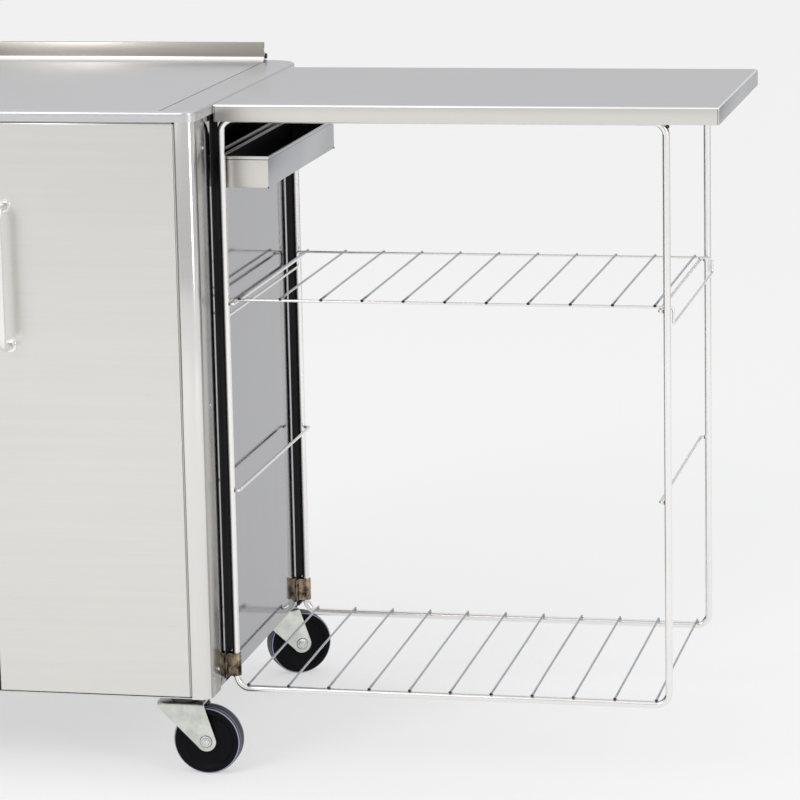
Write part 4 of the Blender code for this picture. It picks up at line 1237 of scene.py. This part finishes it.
@dataclass
class SideTable(SubAssembly):
    """The folded table top on its two rod loops, with bars and bottom wires."""

    span: float = 600.0 * MM
    rod: float = 5.0 * MM
    bend: float = 18.0 * MM
    wire: float = 1.6 * MM
    bar: float = 2.25 * MM
    edge: float = 2.4 * MM
    hem: float = 4.6 * MM
    seam: float = 0.35 * MM
    corner: float = 1.0 * MM
    clip_screw: float = 2.8 * MM
    table_screw: float = 2.6 * MM
    bar_bend: float = 5.0 * MM
    top_drop: float = 2.5 * MM

    def posts(self) -> tuple[float, float, float, float, float, float]:
        """The rod loops' centre lines.

        Returns:
            The left and right X, the front and back Y, and the lower and upper Z.
        """
        low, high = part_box("frame_loop_front")
        back_low, back_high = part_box("frame_loop_back")
        middle = (low.x + high.x) / 2
        front, back = (low.y + high.y) / 2, (back_low.y + back_high.y) / 2
        left, right = middle - self.span / 2, middle + self.span / 2
        return left, right, front, back, low.z + self.rod, high.z - self.rod

    def build_top(self) -> None:
        """Builds the table's folded sheet with its rolled edge and hems, and the corner seams."""
        low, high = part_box("table_top")
        radius = self.edge
        corner = self.corner

        def loop(inset: float, z: float) -> list[Point3]:
            """Returns the table's outline at that inset and height."""
            small = max(corner - inset, 0.3 * MM)
            x0, x1, y0, y1 = low.x + inset, high.x - inset, low.y + inset, high.y - inset
            points = Shapes.arc((x1 - small, y0 + small), small, -90, 0, 4)
            points += Shapes.arc((x1 - small, y1 - small), small, 0, 90, 4)
            points += Shapes.arc((x0 + small, y1 - small), small, 90, 180, 4)
            points += Shapes.arc((x0 + small, y0 + small), small, 180, 270, 4)
            return [(x, y, z) for x, y in points]

        rows = [(2 * SHEET, high.z - SHEET), (SHEET, high.z - 2 * SHEET), (SHEET, low.z + SHEET)]
        rows += [(self.hem, low.z + SHEET), (self.hem, low.z), (0.9 * MM, low.z)]
        rows += [(0.3 * MM, low.z + 0.2 * MM), (0.0, low.z + 0.8 * MM)]
        rows += [(radius - x, high.z - radius + z) for x, z in Shapes.arc((0, 0), radius, 0, 90, 8)]
        top = Shapes.loft("table_sheet", [loop(inset, z) for inset, z in rows])
        for finish in (TOP_STEEL, EDGE_PAINTED_HIGHLIGHT, APRON_PAINTED_LIGHT, APRON_SHADE):
            top.data.materials.append(self.book.material(finish))
        # Faces are coloured by the way they face: the rolled edge gets the painted highlight, front and back
        # aprons the painted light, and end aprons the painted shade.
        for face in top.data.polygons:
            if face.center.z > high.z - radius and 0.2 < face.normal.z < 0.97:
                face.material_index = 1
            elif abs(face.normal.y) > 0.7:
                face.material_index = 2
            elif abs(face.normal.x) > 0.7:
                face.material_index = 3
        self.place(top, TOP_STEEL, nodes=["table_top"])
        seams = []
        for y, outward in ((low.y, -1), (high.y, 1)):
            for x in (low.x + 2.0 * MM, high.x - 2.0 * MM):
                depths = sorted((y + outward * 0.06 * MM, y - outward * 0.5 * MM))
                seams.append(Shapes.block("seam", (x - self.seam, depths[0], low.z + 0.9 * MM),
                                          (x + self.seam, depths[1], high.z - radius)))
        self.place(Shapes.join("table_corner_seams", seams), DARK_JOINT_AND_SHADE)

    def build_loops(self) -> None:
        """Builds the two rod loops and their screws under the table."""
        left, right, front, back, low, _ = self.posts()
        table_low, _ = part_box("table_top")
        high = table_low.z + self.top_drop
        for name, depth in (("front", front), ("back", back)):
            corners = [(left, depth, low), (right, depth, low), (right, depth, high), (left, depth, high)]
            path = Shapes.rounded_path(corners, self.bend, steps=16)
            loop = Shapes.tube(f"rod_loop_{name}", path, self.rod, closed=True, sides=28)
            self.place(loop, ROD_CHROME, slot=Slot.ROD, nodes=[f"frame_loop_{name}"])
        heads = []
        for x in (left, right):
            for y, outward in ((front, -1), (back, 1)):
                place = Vector((x + 2.5 * MM, y + outward * (self.rod - 1.4 * MM), table_low.z - 3 * MM))
                heads.append(Shapes.screw("head", place, Vector((0, outward, 0)), self.table_screw))
        self.place(Shapes.join("table_fixing_screws", heads), BLACK_SCREW, slot=Slot.ZINC)

    def build_bars(self) -> None:
        """Builds the four bent bars and their welds on the posts."""
        left, right, front, back, _, _ = self.posts()
        beads = []
        for level in ("upper", "lower"):
            for side, post, inward in (("left", left, 1), ("right", right, -1)):
                name = f"shelf_bar_{level}_{side}"
                low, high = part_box(name)
                height = (low.z + high.z) / 2
                run = (high.x if inward > 0 else low.x) - inward * self.bar
                touch = post + inward * (self.rod - 0.3 * MM)
                corners = [(touch, front, height), (run, front, height), (run, back, height)]
                corners += [(touch, back, height)]
                path = Shapes.rounded_path(corners, self.bar_bend, closed=False, steps=8)
                bar = Shapes.tube(f"bent_bar_{level}_{side}", path, self.bar, sides=18)
                self.place(bar, ROD_CHROME, slot=Slot.ROD, nodes=[name])
                for depth in (front, back):
                    place = Vector((post + inward * self.rod, depth, height))
                    beads.append(Shapes.bead("bead", place, Vector((1.2 * MM, 2.9 * MM, 2.9 * MM))))
        self.place(Shapes.join("bar_weld_beads", beads), WELD_STEEL, slot=Slot.ROD)

    def build_wires(self) -> None:
        """Builds the bottom wires and the weld at each crossing."""
        _, _, front, back, low, _ = self.posts()
        beads, burns = [], []
        for index in range(1, 12):
            name = f"bottom_wire_{index:02d}"
            box_low, box_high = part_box(name)
            x = (box_low.x + box_high.x) / 2
            z = (box_low.z + box_high.z) / 2
            sag = 0.5 * MM * math.sin(index * 2.1)
            count = 9
            path = []
            for i in range(count + 1):
                share = i / count
                y = box_low.y + (box_high.y - box_low.y) * share
                path.append(Vector((x + sag * math.sin(math.pi * share), y, z)))
            wire = Shapes.tube(f"floor_wire_{index:02d}", path, self.wire, sides=14)
            self.place(wire, WIRE_STEEL, slot=Slot.ROD, nodes=[name])
            for depth in (front, back):
                place = Vector((x, depth, low + self.rod + 0.2 * MM))
                beads.append(Shapes.bead("bead", place, Vector((2.5 * MM, 1.7 * MM, 0.9 * MM))))
            place = Vector((x, box_low.y - 0.1 * MM, z))
            burns.append(Shapes.bead("burn", place, Vector((2.0 * MM, 1.3 * MM, 2.0 * MM))))
        self.place(Shapes.join("wire_weld_beads", beads), WELD_STEEL, slot=Slot.ROD)
        self.place(Shapes.join("wire_end_burns", burns), BURNT_WELD, slot=Slot.ROD)

    def build_clips(self) -> None:
        """Builds the saddle clips that hold the inner posts to the cabinet, with their screws."""
        left, _, front, back, _, _ = self.posts()
        heads = []
        for name, depth in (("front", front), ("back", back)):
            low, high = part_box(f"post_clip_{name}")
            wall, reach = low.x, self.rod + 0.3 * MM
            path = [(wall, low.y), (wall, depth - reach - 2 * MM)]
            path += [(wall + 0.6 * MM, depth - reach - 0.6 * MM), (wall + 2 * MM, depth - reach)]
            path += Shapes.arc((left, depth), reach, -90, 90, 18)
            path += [(wall + 2 * MM, depth + reach), (wall + 0.6 * MM, depth + reach + 0.6 * MM)]
            path += [(wall, depth + reach + 2 * MM), (wall, high.y)]
            outline = Shapes.strip(path[::-1], SHEET)
            clip = Shapes.prism(f"saddle_clip_{name}", outline, low.z, high.z)
            Shapes.soften(clip, 0.35 * MM)
            self.place(clip, CLIP_ZINC, slot=Slot.ZINC, nodes=[f"post_clip_{name}"])
            for y in (low.y + 6 * MM, high.y - 6 * MM):
                for z in (low.z + 8 * MM, high.z - 8 * MM):
                    place = Vector((wall + SHEET, y, z))
                    heads.append(Shapes.screw("head", place, Vector((1, 0, 0)), self.clip_screw))
        self.place(Shapes.join("clip_screws", heads), BLACK_SCREW, slot=Slot.ZINC)

    def build(self) -> None:
        """Builds the table and its rod frame."""
        self.build_top()
        self.build_loops()
        self.build_bars()
        self.build_wires()
        self.build_clips()


@dataclass
class MidShelf(SubAssembly):
    """The lift-out wire shelf with its drop lips."""

    wire: float = 1.9 * MM
    cross_wire: float = 1.6 * MM
    bend: float = 5.0 * MM

    def build(self) -> None:
        """Builds the bent frame, the cross wires and the weld dots."""
        low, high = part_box("mid_shelf")
        thickness = self.cross_wire
        left, right = low.x + thickness, high.x - thickness
        front, back = low.y + 2 * MM, high.y - 2 * MM
        height = high.z - 3 * thickness + 0.8 * MM
        bottom = low.z + thickness
        corners = []
        for edge, first, second in ((left, back, front), (right, front, back)):
            corners += [(edge, first, height), (edge, first, bottom)]
            corners += [(edge, second, bottom), (edge, second, height)]
        path = Shapes.rounded_path(corners, self.bend, steps=8)
        frame = Shapes.tube("shelf_frame", path, self.wire, closed=True, sides=18)
        wires, beads, burns = [], [], []
        for index in range(1, 12):
            box_low, box_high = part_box(f"bottom_wire_{index:02d}")
            x = (box_low.x + box_high.x) / 2
            z = height + 2 * thickness - 0.8 * MM
            bow = 0.4 * MM * math.sin(index * 1.7)
            start, length = front - 2 * MM, back - front + 4 * MM
            line = [Vector((x + bow * math.sin(math.pi * i / 8), start + length * i / 8, z))
                    for i in range(9)]
            wires.append(Shapes.tube("cross", line, thickness, sides=14))
            for depth in (front, back):
                place = Vector((x, depth, height + 1.4 * MM))
                beads.append(Shapes.bead("bead", place, Vector((2.4 * MM, 2.0 * MM, 1.1 * MM))))
            place = Vector((x, front - 2 * MM, z - 0.4 * MM))
            burns.append(Shapes.bead("burn", place, Vector((2.1 * MM, 1.2 * MM, 2.0 * MM))))
        self.place(frame, ROD_CHROME, "mid_shelf", Slot.ROD, nodes=["mid_shelf"])
        self.place(Shapes.join("shelf_cross_wires", wires), WIRE_STEEL, "mid_shelf", Slot.ROD)
        self.place(Shapes.join("shelf_weld_beads", beads), WELD_STEEL, "mid_shelf", Slot.ROD)
        self.place(Shapes.join("shelf_end_burns", burns), BURNT_WELD, "mid_shelf", Slot.ROD)


@dataclass
class HangingTray(SubAssembly):
    """The narrow tray under the table, with a hemmed rim and a hook."""

    width: float = 62.0 * MM
    hook_drop: float = 21.0 * MM
    hem: float = 4.2 * MM
    hem_out: float = 0.9 * MM
    wall: float = 1.3 * MM

    def build(self) -> None:
        """Builds the tray's walls and rim, its hook, and the painted shade inside it and under its rim."""
        low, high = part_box("tray")
        left = high.x - self.width
        z_low, z_high = low.z, high.z

        def loop(inset: float, z: float) -> list[Point3]:
            """Returns the tray's outline at that inset and height."""
            corner = max(1.2 * MM - inset, 0.3 * MM)
            x0, x1, y0, y1 = left + inset, high.x - inset, low.y + inset, high.y - inset
            points = Shapes.arc((x1 - corner, y0 + corner), corner, -90, 0, 3)
            points += Shapes.arc((x1 - corner, y1 - corner), corner, 0, 90, 3)
            points += Shapes.arc((x0 + corner, y1 - corner), corner, 90, 180, 3)
            points += Shapes.arc((x0 + corner, y0 + corner), corner, 180, 270, 3)
            return [(x, y, z) for x, y in points]

        out, hem = self.hem_out, self.hem
        rows = [(1.0 * MM, z_low), (0.3 * MM, z_low + 0.3 * MM), (0.0, z_low + 1.0 * MM)]
        rows += [(0.0, z_high - hem - 1.1 * MM), (0.25 * MM, z_high - hem - 1.0 * MM)]
        rows += [(0.25 * MM, z_high - hem), (-out, z_high - hem)]
        rows += [(-out - 0.2 * MM, z_high - hem + 0.5 * MM), (-out - 0.2 * MM, z_high - 0.8 * MM)]
        rows += [(-out + 0.3 * MM, z_high - 0.1 * MM), (0.4 * MM, z_high), (self.wall, z_high - 0.5 * MM)]
        rows += [(self.wall, z_low + 2.4 * MM), (self.wall + 1.0 * MM, z_low + self.wall)]
        tray = Shapes.loft("tray_pan", [loop(inset, z) for inset, z in rows])
        tray.data.materials.append(self.book.material(TRAY_STEEL))
        tray.data.materials.append(self.book.material(TRAY_PAINTED_SHADE))
        tray.data.materials.append(self.book.material(APRON_SHADE))
        # Inside faces and the faces under the hem take the painted shade, and the +X faces take the painted
        # end-apron shade.
        for face in tray.data.polygons:
            inside = face.center.z < z_high - 1.0 * MM
            inside = inside and left + 1.1 * MM < face.center.x < high.x - 1.1 * MM
            inside = inside and low.y + 1.1 * MM < face.center.y < high.y - 1.1 * MM
            if inside and face.center.z > z_low + 0.5 * MM:
                face.material_index = 1
            elif -1.2 * MM < face.center.z - (z_high - hem) < -0.2 * MM:
                face.material_index = 1
            elif face.normal.x > 0.8:
                face.material_index = 2
        self.place(tray, TRAY_STEEL, "tray", nodes=["tray"])
        rail_low, rail_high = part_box("tray_rail")
        hook = [(left + 0.3 * MM, z_high - 0.2 * MM), (low.x + 0.8 * MM, z_high - 0.2 * MM)]
        hook += [(low.x, z_high - 1.0 * MM), (low.x, z_high - self.hook_drop)]
        outline = Shapes.strip(hook, self.wall)
        blade = Shapes.prism("tray_hook", outline, rail_low.y + 2 * MM, rail_high.y - 2 * MM, Axis.Y)
        self.place(Shapes.soften(blade, 0.3 * MM), TRAY_STEEL, "tray")
        dots = []
        for y in (low.y, high.y):
            dots.append(Shapes.bead("notch", Vector((high.x - 0.2 * MM, y, z_low + 0.6 * MM)),
                                    Vector((1.0 * MM, 1.0 * MM, 1.2 * MM))))
        self.place(Shapes.join("tray_corner_notches", dots), DARK_JOINT_AND_SHADE, "tray")
        self.dress("tray_rail", TRAY_STEEL)


@dataclass
class Caster(SubAssembly):
    """One swivel caster: plate, race, fork, wheel and axle bolt."""

    key: str = "fr"
    wheel_width: float = 28.0 * MM
    wheel_radius: float = 47.0 * MM
    hub: float = 13.0 * MM
    sheet: float = 2.5 * MM
    slot_width: float = 30.0 * MM
    half_top: float = 28.0 * MM
    boss: float = 14.0 * MM
    trail: float = 31.0 * MM
    tail: float = 9.0 * MM
    axle: float = 4.0 * MM
    axle_nut: float = 6.4 * MM
    axle_nut_height: float = 3.2 * MM
    plate_nut: float = 5.2 * MM
    plate_nut_height: float = 3.5 * MM
    plate_thick: float = 3.0 * MM
    plate_corner: float = 6.0 * MM
    bolt_inset: Point2 = (9.0 * MM, 8.0 * MM)
    hub_half: float = 14.0 * MM
    shoulder: float = 5.0 * MM

    def axes(self) -> tuple[Vector, Vector, float]:
        """The caster's swivel and wheel centres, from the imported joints.

        Returns:
            The swivel's place, the wheel's place, and the yaw in radians.
        """
        joints = {joint["name"]: joint for joint in FRAME["joints"]}
        swivel = Vector(joints[f"caster_{self.key}_swivel"]["pos_m"])
        wheel = Vector(joints[f"caster_{self.key}_roll"]["pos_m"])
        away = wheel - swivel
        return swivel, wheel, math.atan2(away.y, away.x)

    def build(self) -> None:
        """Builds the caster's pieces about its swivel axis."""
        swivel, wheel, yaw = self.axes()
        turn = Matrix.Translation((swivel.x, swivel.y, 0)) @ Matrix.Rotation(yaw, 4, "Z")
        self.build_plate(swivel)
        self.build_fork(turn)
        self.build_wheel(turn)
        self.build_axle(turn)
        LOG.info("caster %s at %.3f, %.3f, wheel height %.3f", self.key, swivel.x, swivel.y, wheel.z)

    def build_plate(self, swivel: Vector) -> None:
        """Builds the mounting plate, its bolts and the pressed race below it.

        Args:
            swivel: The swivel's place.
        """
        low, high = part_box(f"caster_{self.key}_plate")
        corner = self.plate_corner
        outline = Shapes.arc((high.x - corner, low.y + corner), corner, -90, 0, 6)
        outline += Shapes.arc((high.x - corner, high.y - corner), corner, 0, 90, 6)
        outline += Shapes.arc((low.x + corner, high.y - corner), corner, 90, 180, 6)
        outline += Shapes.arc((low.x + corner, low.y + corner), corner, 180, 270, 6)
        plate = Shapes.soften(Shapes.prism("plate", outline, high.z - self.plate_thick, high.z), 0.5 * MM)
        top, base = high.z - self.plate_thick, low.z
        drop = top - base
        steps = ((17, 0), (20.5, 0.1), (22.5, 0.35), (22.8, 0.5),
                 (21.2, 0.6), (21.2, 0.7), (23, 0.8), (24, 1))
        profile = [(0.0, base)] + [(radius * MM, base + share * drop) for radius, share in steps]
        profile += [(0.0, top + 0.5 * MM)]
        race = Shapes.turned("race", profile, 48)
        Shapes.move(race, Matrix.Translation((swivel.x, swivel.y, 0)))
        nuts = []
        inset_x, inset_y = self.bolt_inset
        for x in (low.x + inset_x, high.x - inset_x):
            for y in (low.y + inset_y, high.y - inset_y):
                place = Vector((x, y, top + 0.2 * MM))
                nuts.append(self.hexagon(place, Vector((0, 0, -1)), self.plate_nut, self.plate_nut_height))
        whole = Shapes.join(f"caster_{self.key}_mounting", [plate, race, *nuts])
        self.place(whole, SHADED_ZINC, slot=Slot.ZINC, nodes=[f"caster_{self.key}_plate"])

    def hexagon(self, place: Vector, outward: Vector, radius: float, height: float) -> bpy.types.Object:
        """A hexagon nut or head with chamfered corners.

        Args:
            place: The centre of its seat.
            outward: The direction that it faces.
            radius: Half its width across corners.
            height: Its height.

        Returns:
            The new object.
        """
        rows = [(1.0, 0.0), (1.0, 0.75), (0.9, 1.0)]
        loops = []
        for share, level in rows:
            angles = [math.pi * i / 3 for i in range(6)]
            loops.append([(radius * share * math.cos(a), radius * share * math.sin(a), height * level)
                          for a in angles])
        nut = Shapes.loft("nut", loops, smooth_angle=10)
        turn = Vector((0, 0, 1)).rotation_difference(outward).to_matrix().to_4x4()
        return Shapes.move(nut, Matrix.Translation(place) @ turn)

    def build_fork(self, turn: Matrix) -> None:
        """Builds the pressed fork: two cheeks that bend over into the top.

        Args:
            turn: The matrix from the caster's own frame.
        """
        low_plate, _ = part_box(f"caster_{self.key}_plate")
        top = low_plate.z - 0.6 * MM
        axle = self.wheel_radius
        tail = -self.half_top - self.tail
        outline = [(self.half_top, top), (tail, top), (tail + 1.0 * MM, top - 7 * MM)]
        outline += Shapes.arc((self.trail, axle), self.boss, 214, 372, 22)
        half = self.slot_width / 2 + self.sheet
        body = Shapes.prism("fork", outline, -half, half, Axis.Y)
        reach = self.half_top + 12 * MM
        slot_top = top - self.sheet
        bend = self.shoulder - self.sheet
        side = self.slot_width / 2
        inner = [(-side, -MM), (side, -MM), (side, slot_top - bend)]
        inner += Shapes.arc((side - bend, slot_top - bend), bend, 0, 90, 6)
        inner += Shapes.arc((-side + bend, slot_top - bend), bend, 90, 180, 6)
        slot = Shapes.prism("slot", inner, -reach, self.trail + self.boss + 10 * MM, Axis.X)
        big = self.shoulder
        cutters = [slot]
        for sign in (1, -1):
            tool = Shapes.arc((sign * (half - big), top - big), big, 90, 90 - sign * 90, 8)
            tool += [(sign * (half + 2 * MM), top - big), (sign * (half + 2 * MM), top + 2 * MM)]
            tool += [(sign * (half - big), top + 2 * MM)]
            cutters.append(Shapes.prism("shoulder", tool, -reach, reach, Axis.X))
        Shapes.cut(body, cutters)
        Shapes.soften(body, 0.5 * MM, 2, 55)
        Shapes.move(body, turn)
        body.name = f"caster_{self.key}_pressed_fork"
        swivel = f"caster_{self.key}_swivel"
        self.place(body, ZINC, swivel, Slot.ZINC, nodes=[f"caster_{self.key}_fork"])

    def build_wheel(self, turn: Matrix) -> None:
        """Builds the wheel: dished faces, a hub, and a tread with two fine grooves.

        Args:
            turn: The matrix from the caster's own frame.
        """
        side, radius, hub_side = self.wheel_width / 2, self.wheel_radius, self.hub_half
        half = [(4.5 * MM, hub_side), (self.hub - 1.5 * MM, hub_side), (self.hub, hub_side - MM)]
        half += [(self.hub + 1.5 * MM, side - 3.2 * MM), (self.hub + 4 * MM, side - 3.5 * MM)]
        half += [(radius - 13 * MM, side - 3.5 * MM), (radius - 11 * MM, side - 2.5 * MM)]
        half += [(radius - 9.5 * MM, side - 0.6 * MM), (radius - 8 * MM, side), (radius - 4 * MM, side)]
        half += [(radius - 2.2 * MM, side - 0.6 * MM)]
        tread = [(radius - 0.9 * MM, side - 1.9 * MM), (radius - 0.2 * MM, side - 3.6 * MM)]
        tread += [(radius - 0.15 * MM, side - 5.2 * MM), (radius - 0.75 * MM, side - 5.6 * MM)]
        tread += [(radius - 0.75 * MM, side - 6.2 * MM), (radius - 0.1 * MM, side - 6.6 * MM)]
        tread += [(radius, side - 9 * MM)]
        front = half + tread
        profile = front + [(r, -along) for r, along in reversed(front)]
        wheel = Shapes.turned(f"caster_{self.key}_tyre", profile, 96, Axis.Y)
        wheel.data.materials.append(self.book.material(WHEEL_BLACK))
        wheel.data.materials.append(self.book.material(TREAD))
        wheel.data.materials.append(self.book.material(TREAD_PAINTED_HIGHLIGHT))
        # Tread faces are dark, and the groove rings and the tread's outer edges take the painted highlight.
        edge = radius - 1.6 * MM
        for face in wheel.data.polygons:
            if math.hypot(face.center.x, face.center.z) > edge * math.cos(math.pi / 96):
                off = side - abs(face.center.y)
                face.material_index = 2 if 5.1 * MM < off < 6.7 * MM or off < 2.0 * MM else 1
        Shapes.move(wheel, turn @ Matrix.Translation((self.trail, 0, radius)))
        body = f"caster_{self.key}_wheel"
        self.place(wheel, WHEEL_BLACK, body, Slot.WHEEL, nodes=[f"caster_{self.key}_wheel"])

    def build_axle(self, turn: Matrix) -> None:
        """Builds the axle bolt with its head, washers and nut.

        Args:
            turn: The matrix from the caster's own frame.
        """
        half = self.slot_width / 2 + self.sheet
        pieces = []
        for sign in (1, -1):
            outward = Vector((0, sign, 0))
            profile = [(0.0, 0.0), (7.6 * MM, 0.0), (8 * MM, 0.4 * MM), (7.7 * MM, 1.1 * MM), (0.0, 1.2 * MM)]
            washer = Shapes.turned("washer", profile, 36)
            spin = Vector((0, 0, 1)).rotation_difference(outward).to_matrix().to_4x4()
            place = Vector((self.trail, sign * (half + 0.1 * MM), self.wheel_radius))
            pieces.append(Shapes.move(washer, Matrix.Translation(place) @ spin))
            seat = place + outward * 1.1 * MM
            pieces.append(self.hexagon(seat, outward, self.axle_nut, self.axle_nut_height))
            profile = [(0.0, 0.0), (3.4 * MM, 0.0), (3.4 * MM, 4.0 * MM)]
            profile += [(2.8 * MM, 4.6 * MM), (0.0, 4.7 * MM)]
            stub = Shapes.turned("stub", profile, 28)
            pieces.append(Shapes.move(stub, Matrix.Translation(seat) @ spin))
        profile = [(0.0, -half), (self.axle, -half), (self.axle, half), (0.0, half)]
        shaft = Shapes.turned("shaft", profile, 28, Axis.Y)
        pieces.append(Shapes.move(shaft, Matrix.Translation((self.trail, 0, self.wheel_radius))))
        rims = []
        for sign in (1, -1):
            outer, inner = 8.7 * MM, 7.4 * MM
            near, far = -half - 0.12 * MM, -half + 0.5 * MM
            profile = [(inner, near), (outer, near), (outer, far), (inner, far)]
            rim = Shapes.turned("rim", profile, 36, Axis.Y)
            Shapes.move(rim, Matrix.Diagonal((1, sign, 1, 1)))
            rims.append(Shapes.move(rim, Matrix.Translation((self.trail, 0, self.wheel_radius))))
        shade = Shapes.move(Shapes.join(f"caster_{self.key}_washer_shadow", rims), turn)
        self.place(shade, DARK_JOINT_AND_SHADE, f"caster_{self.key}_swivel", Slot.ZINC)
        bolt = Shapes.join(f"caster_{self.key}_axle_bolt", pieces)
        Shapes.move(bolt, turn)
        swivel = f"caster_{self.key}_swivel"
        self.place(bolt, BOLT_ZINC, swivel, Slot.ZINC, nodes=[f"caster_{self.key}_axle"])


@dataclass
class Studio:
    """The pale floor, soft light and camera."""

    lens_px: float = 3726.1
    yaw: float = 12.203
    pitch: float = 11.615
    roll: float = -1.175
    place: Point3 = (1.2431, -4.9697, 1.5247)
    frame_px: float = 800.0
    sensor: float = 36.0
    floor_reach: float = 60.0
    floor_drop: float = 0.2 * MM
    floor_grey: float = 0.44
    floor_glow: float = 0.49
    sky_strength: float = 0.92

    def build_camera(self) -> None:
        """Builds the camera."""
        data = bpy.data.cameras.new("camera")
        data.sensor_width = self.sensor
        data.lens = self.lens_px * self.sensor / self.frame_px
        data.clip_end = 200.0
        camera = bpy.data.objects.new("camera", data)
        bpy.context.scene.collection.objects.link(camera)
        turn = Matrix.Rotation(math.radians(self.yaw), 4, "Z")
        turn = turn @ Matrix.Rotation(math.radians(90 - self.pitch), 4, "X")
        turn = turn @ Matrix.Rotation(math.radians(self.roll), 4, "Z")
        camera.matrix_world = Matrix.Translation(self.place) @ turn
        bpy.context.scene.camera = camera

    def build_floor(self) -> None:
        """Builds the floor, which runs on beyond every view."""
        reach, grey = self.floor_reach, self.floor_grey
        bm = bmesh.new()
        corners = [bm.verts.new((x, y, -self.floor_drop)) for x, y in
                   ((-reach, -reach), (reach, -reach), (reach, reach), (-reach, reach))]
        bm.faces.new(corners)
        floor = Shapes.finish_mesh("floor", bm)
        material = bpy.data.materials.new("pale_floor")
        material.use_nodes = True
        shader = material.node_tree.nodes["Principled BSDF"]
        shader.inputs["Base Color"].default_value = (grey, grey, grey, 1.0)
        shader.inputs["Emission Color"].default_value = (1.0, 1.0, 1.0, 1.0)
        shader.inputs["Emission Strength"].default_value = self.floor_glow
        shader.inputs["Roughness"].default_value = 0.9
        shader.inputs["Specular IOR Level"].default_value = 0.1
        floor.data.materials.append(material)

    def area(self, name: str, place: Point3, target: Point3, size: Point2, power: float,
             colour: Colour = (1.0, 1.0, 1.0)) -> None:
        """Adds a soft box.

        Args:
            name: The light's name.
            place: Where it stands.
            target: The point that it faces.
            size: Its width and height.
            power: Its power in watts.
            colour: Its colour.
        """
        data = bpy.data.lights.new(name, "AREA")
        data.shape, data.size, data.size_y = "RECTANGLE", size[0], size[1]
        data.energy, data.color = power, colour
        lamp = bpy.data.objects.new(name, data)
        bpy.context.scene.collection.objects.link(lamp)
        aim = (Vector(target) - Vector(place)).to_track_quat("-Z", "Y").to_matrix().to_4x4()
        lamp.matrix_world = Matrix.Translation(place) @ aim

    def flag(self, name: str, low: Point3, high: Point3, shade: float) -> None:
        """Adds a dark card that only shows in reflections.

        Args:
            name: The card's name.
            low: Its lowest corner.
            high: Its highest corner.
            shade: How bright it is.
        """
        card = Shapes.block(name, low, high)
        material = bpy.data.materials.new(name)
        material.use_nodes = True
        shader = material.node_tree.nodes["Principled BSDF"]
        shader.inputs["Base Color"].default_value = (shade, shade, shade, 1.0)
        shader.inputs["Roughness"].default_value = 1.0
        card.data.materials.append(material)
        card.visible_camera = card.visible_diffuse = card.visible_shadow = False
        card.visible_transmission = False

    def build_sky(self) -> None:
        """Builds the even light of the room, a little darker near the horizon."""
        world = bpy.data.worlds.new("room")
        bpy.context.scene.world = world
        world.use_nodes = True
        tree = world.node_tree
        back = tree.nodes["Background"]
        place = tree.nodes.new("ShaderNodeTexCoord")
        split = tree.nodes.new("ShaderNodeSeparateXYZ")
        ramp = tree.nodes.new("ShaderNodeValToRGB")
        ramp.color_ramp.elements[0].position = 0.0
        ramp.color_ramp.elements[0].color = (0.62, 0.62, 0.63, 1)
        ramp.color_ramp.elements[1].position = 0.75
        ramp.color_ramp.elements[1].color = (1.0, 1.0, 1.0, 1)
        tree.links.new(place.outputs["Generated"], split.inputs[0])
        tree.links.new(split.outputs["Z"], ramp.inputs[0])
        tree.links.new(ramp.outputs[0], back.inputs["Color"])
        back.inputs["Strength"].default_value = self.sky_strength

    def build(self) -> None:
        """Builds the whole studio."""
        self.build_floor()
        self.build_sky()
        self.area("key", (-2.2, -4.2, 3.4), (-0.1, 0, 0.5), (1.6, 2.2), 70)
        self.area("strip", (3.6, -2.4, 2.0), (-0.1, 0, 0.5), (0.6, 2.6), 35, (0.96, 0.98, 1.0))
        self.flag("flag_left", (-2.6, -2.2, 0.0), (-2.55, 1.4, 1.6), 0.02)
        self.flag("flag_rear_right", (2.2, 1.7, 0.0), (2.25, 3.6, 2.2), 0.02)
        self.flag("flag_rear_left", (-3.6, 1.5, 0.0), (-3.55, 3.4, 2.2), 0.02)
        self.build_camera()
        bpy.context.scene.view_settings.view_transform = "Standard"


def main() -> None:
    """Builds every sub-assembly in order, then the studio."""
    logging.basicConfig(level=logging.INFO, format="%(name)s: %(message)s")
    book = FinishBook()
    for make in (CabinetShell, Lid, Doors, SideTable, MidShelf, HangingTray):
        make(book).build()
    for key in ("fr", "rr", "fl", "rl"):
        Caster(book, key=key).build()
    Studio().build()


if __name__ == "__main__":
    main()
